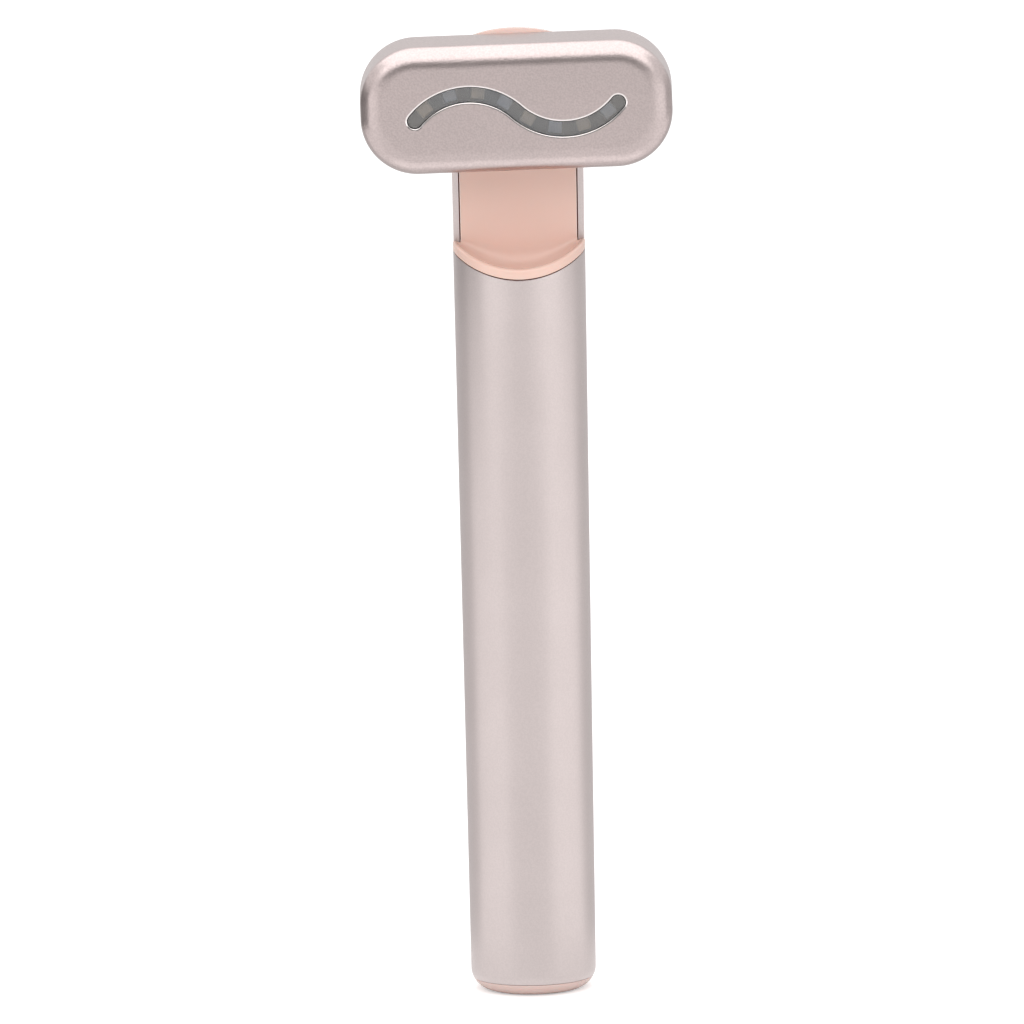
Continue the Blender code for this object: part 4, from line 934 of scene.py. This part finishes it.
def dress(item, *materials):
    """Gives an object its materials in place of the old ones."""
    item.data.materials.clear()
    for material in materials:
        item.data.materials.append(material)


def dress_own(item, *materials):
    """Like dress, for a piece built here that has another material on some faces."""
    indices = [face.material_index for face in item.data.polygons]
    dress(item, *materials)
    item.data.polygons.foreach_set("material_index", indices)


for node_name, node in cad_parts.items():
    number = node_name.removeprefix("light_")
    if number.isdigit():
        dress(node, WARM_LIGHT if int(number) % 2 else COOL_LIGHT)
    elif "screw" in node_name:
        dress(node, STEEL)
for node_material, names in NODE_MATERIALS.items():
    for node_name in names:
        dress(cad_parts[node_name], node_material)


def stand_for(item, node_name, body, slot, *materials):
    """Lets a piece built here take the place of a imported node."""
    dress_own(item, *materials)
    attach(item, body)
    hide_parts(node_name)


BUTTON, RING = make_button()
stand_for(make_tube(), "handle_tube", "handle", "rose_metal", METAL, GAP_SHADE)
stand_for(make_panel(), "neck_panel", "handle", "peach_plastic", PEACH, PEACH_HIGHLIGHT)
# The dome takes the paler peach as a painted highlight from above
stand_for(make_dome(), "neck_top_cap", "handle", "peach_plastic", PEACH_HIGHLIGHT)
stand_for(make_base(), "base_cap", "handle", "peach_plastic", PALE_PEACH)
stand_for(RING, "button_bezel", "handle", "rose_metal", METAL)
stand_for(BUTTON, "power_button", "power_button", "peach_plastic", PEACH)
stand_for(make_head(), "head_shell", "head", "rose_metal", HEAD_METAL, BRIGHT_CUT, DARK)
stand_for(make_cover(), "head_back_cover", "head", "peach_plastic", PEACH)
stand_for(make_window(), "light_window", "head", "smoky_window", SMOKE)


# Stage


def seen_by(nodes, links, *keys):
    """1 for rays of the named kinds, else 0."""
    path = nodes.new("ShaderNodeLightPath")
    seen = path.outputs[keys[0]]
    for key in keys[1:]:
        joined = nodes.new("ShaderNodeMath")
        joined.operation = "MAXIMUM"
        links.new(seen, joined.inputs[0])
        links.new(path.outputs[key], joined.inputs[1])
        seen = joined.outputs[0]
    return seen


def stage_nodes(name):
    """A new empty material, its nodes and links, and its surface socket."""
    material = bpy.data.materials.new(name)
    material.use_nodes = True
    nodes, links = material.node_tree.nodes, material.node_tree.links
    nodes.clear()
    return material, nodes, links, nodes.new("ShaderNodeOutputMaterial").inputs["Surface"]


def make_world(diffuse_strength):
    """A white surround, at full strength where it is seen straight on, in a reflection or through glass."""
    world = bpy.data.worlds.new("studio")
    bpy.context.scene.world = world
    world.use_nodes = True
    nodes, links = world.node_tree.nodes, world.node_tree.links
    background = nodes["Background"]
    background.inputs["Color"].default_value = (1.0, 1.0, 1.0, 1.0)
    strength = nodes.new("ShaderNodeMapRange")
    strength.inputs["To Min"].default_value = diffuse_strength
    strength.inputs["To Max"].default_value = 1.0
    seen = seen_by(nodes, links, "Is Camera Ray", "Is Glossy Ray", "Is Transmission Ray")
    links.new(seen, strength.inputs["Value"])
    links.new(strength.outputs["Result"], background.inputs["Strength"])


def aimed(location, target):
    """A matrix whose -Z looks from a place to a target."""
    direction = Vector(location) - Vector(target)
    rotation = direction.to_track_quat("Z", "Y").to_matrix().to_4x4()
    return Matrix.Translation(location) @ rotation


def make_light(name, location, target, size, radiance, for_gloss=False):
    """A soft lamp that lights matt surfaces alone, or, for gloss, shows in reflections alone."""
    data = bpy.data.lights.new(name, "AREA")
    data.shape = "RECTANGLE"
    data.size, data.size_y = size
    data.energy = radiance * math.pi * size[0] * size[1]
    item = bpy.data.objects.new(name, data)
    item.matrix_world = aimed(location, target)
    item.visible_glossy = for_gloss
    item.visible_diffuse = not for_gloss
    item.visible_transmission = not for_gloss
    bpy.context.scene.collection.objects.link(item)


def place_card(name, rows, radiance):
    """A studio card of one plain tone that only reflections see, through rows of two corners each."""
    work = bmesh.new()
    ends = [[work.verts.new(corner) for corner in row] for row in rows]
    for (a, b), (c, d) in zip(ends, ends[1:]):
        work.faces.new((a, c, d, b))
    item = mesh_object(name, work)
    material, nodes, links, surface = stage_nodes(name)
    emission = nodes.new("ShaderNodeEmission")
    emission.inputs["Strength"].default_value = radiance
    links.new(emission.outputs[0], surface)
    material.cycles.emission_sampling = "NONE"
    item.data.materials.append(material)
    item.visible_camera = False
    item.visible_diffuse = False
    item.visible_transmission = False
    item.visible_shadow = False


def card_angles(start, end, steps):
    """Angles in radians from one to another, which are given in degrees."""
    return [math.radians(start + (end - start) * i / steps) for i in range(steps + 1)]


def bent_card(name, radius, start, end, low, high, radiance):
    """A card that stands round the wand. Its angles run from the front to the right."""
    rows = []
    for angle in card_angles(start, end, 24):
        x, y = radius * math.sin(angle), -radius * math.cos(angle)
        rows.append([(x, y, z) for z in (low, high)])
    place_card(name, rows, radiance)


def arched_card(name, radius, start, end, radiance):
    """A card that arches over the wand. Its angles run from the front up and over to the back."""
    rows = []
    for angle in card_angles(start, end, 40):
        y, z = -radius * math.cos(angle), PIVOT_Z + radius * math.sin(angle)
        rows.append([(x, y, z) for x in (ARCH_HALF_WIDTH, -ARCH_HALF_WIDTH)])
    place_card(name, rows, radiance)


def ring_card(name, start, end, inner, outer, radiance):
    """A card that lies round the wand, just over the floor. Its angles run from the front to the right."""
    rows = []
    for angle in card_angles(start, end, 48):
        rows.append([(r * math.sin(angle), -r * math.cos(angle), RING_Z) for r in (inner, outer)])
    place_card(name, rows, radiance)


def make_floor():
    """A plain pale floor that keeps the object's shadow and looks white from the camera."""
    work = bmesh.new()
    corners = ((-1, -1), (1, -1), (1, 1), (-1, 1))
    work.faces.new([work.verts.new((x * FLOOR_HALF, y * FLOOR_HALF, FLOOR_Z)) for x, y in corners])
    item = mesh_object("floor", work)
    material, nodes, links, surface = stage_nodes("floor")
    matt = nodes.new("ShaderNodeBsdfDiffuse")
    matt.inputs["Color"].default_value = (0.8, 0.8, 0.8, 1.0)
    emission = nodes.new("ShaderNodeEmission")
    strength = nodes.new("ShaderNodeMapRange")
    strength.inputs["To Max"].default_value = FLOOR_GLOW
    links.new(seen_by(nodes, links, "Is Camera Ray", "Is Transmission Ray"), strength.inputs["Value"])
    links.new(strength.outputs["Result"], emission.inputs["Strength"])
    both = nodes.new("ShaderNodeAddShader")
    links.new(matt.outputs[0], both.inputs[0])
    links.new(emission.outputs[0], both.inputs[1])
    links.new(both.outputs[0], surface)
    item.data.materials.append(material)


def make_camera():
    """The photograph's view: from a little above, with the wand leaning by the camera's roll."""
    elevation, roll = CAMERA_ELEVATION, CAMERA_ROLL
    back = Vector((0.0, -math.cos(elevation), math.sin(elevation)))
    plain_up = Vector((0.0, math.sin(elevation), math.cos(elevation)))
    plain_right = Vector((1.0, 0.0, 0.0))
    right = plain_right * math.cos(roll) - plain_up * math.sin(roll)
    up = plain_up * math.cos(roll) + plain_right * math.sin(roll)
    data = bpy.data.cameras.new("camera")
    data.sensor_width = SENSOR_WIDTH
    data.lens = SENSOR_WIDTH * CAMERA_DISTANCE / (IMAGE_PIXELS * PIXEL)
    data.clip_end = 100.0
    item = bpy.data.objects.new("camera", data)
    matrix = Matrix((right, up, back)).transposed().to_4x4()
    matrix.translation = CAMERA_TARGET + back * CAMERA_DISTANCE
    item.matrix_world = matrix
    bpy.context.scene.collection.objects.link(item)
    bpy.context.scene.camera = item


# Cards over the wand: name, radius, start, end, tone
ARCHED_CARDS = (
    ("over_card", 0.5, 31.0, 133.0, 2.05),
    ("front_card", 0.8, 1.0, 25.0, 0.22),
    ("rear_card", 0.8, 150.0, 186.0, 0.85),
)

# Cards round the handle and round the head: name, radius, start, end, low edge, high edge, tone
BENT_CARDS = (
    ("left_card", 0.25, -104.0, -38.0, 0.0, 0.085, 1.16),
    ("right_card", 0.25, 38.0, 106.0, 0.0, 0.085, 1.2),
    ("back_left_card", 0.25, -165.0, -106.0, 0.0, 0.085, 0.7),
    ("back_right_card", 0.25, 108.0, 165.0, 0.0, 0.085, 0.7),
    ("head_left_bright", 0.28, -65.0, -20.0, 0.095, 0.19, 1.3),
    ("head_right_bright", 0.28, 20.0, 74.0, 0.095, 0.19, 1.35),
    ("head_left_dark", 0.25, -138.0, -68.0, 0.09, 0.2, 0.26),
    ("head_right_dark", 0.25, 77.0, 150.0, 0.09, 0.2, 0.65),
)

# Cards on the floor: name, start, end, inner radius, outer radius, tone
RING_CARDS = (
    ("foot_floor", 0.0, 360.0, 0.0115, 0.016, 1.06),
    ("near_floor", 0.0, 360.0, 0.016, 0.05, 1.0),
    ("front_floor", -36.0, 36.0, 0.05, 0.16, 0.94),
    ("left_floor", -104.0, -36.0, 0.05, 0.25, 1.12),
    ("right_floor", 36.0, 106.0, 0.05, 0.25, 1.15),
    ("back_floor", 106.0, 256.0, 0.05, 0.25, 0.75),
)

bpy.context.scene.view_settings.view_transform = "Standard"
make_world(0.9)
make_light("over", (0.0, -0.85, 0.85), MIDDLE, (1.1, 0.8), 1.44)
make_light("fill", (0.0, -1.1, 0.2), MIDDLE, (1.2, 0.3), 1.15)
make_light("top", (0.0, 0.3, 0.9), MIDDLE, (0.9, 0.9), 0.65)
make_light("low_edge", UNDER_HEAD, (0.0, -0.0453, 0.2244), (0.064, 0.022), 0.42, for_gloss=True)
for card in ARCHED_CARDS:
    arched_card(*card)
for card in BENT_CARDS:
    bent_card(*card)
for card in RING_CARDS:
    ring_card(*card)
make_floor()
make_camera()
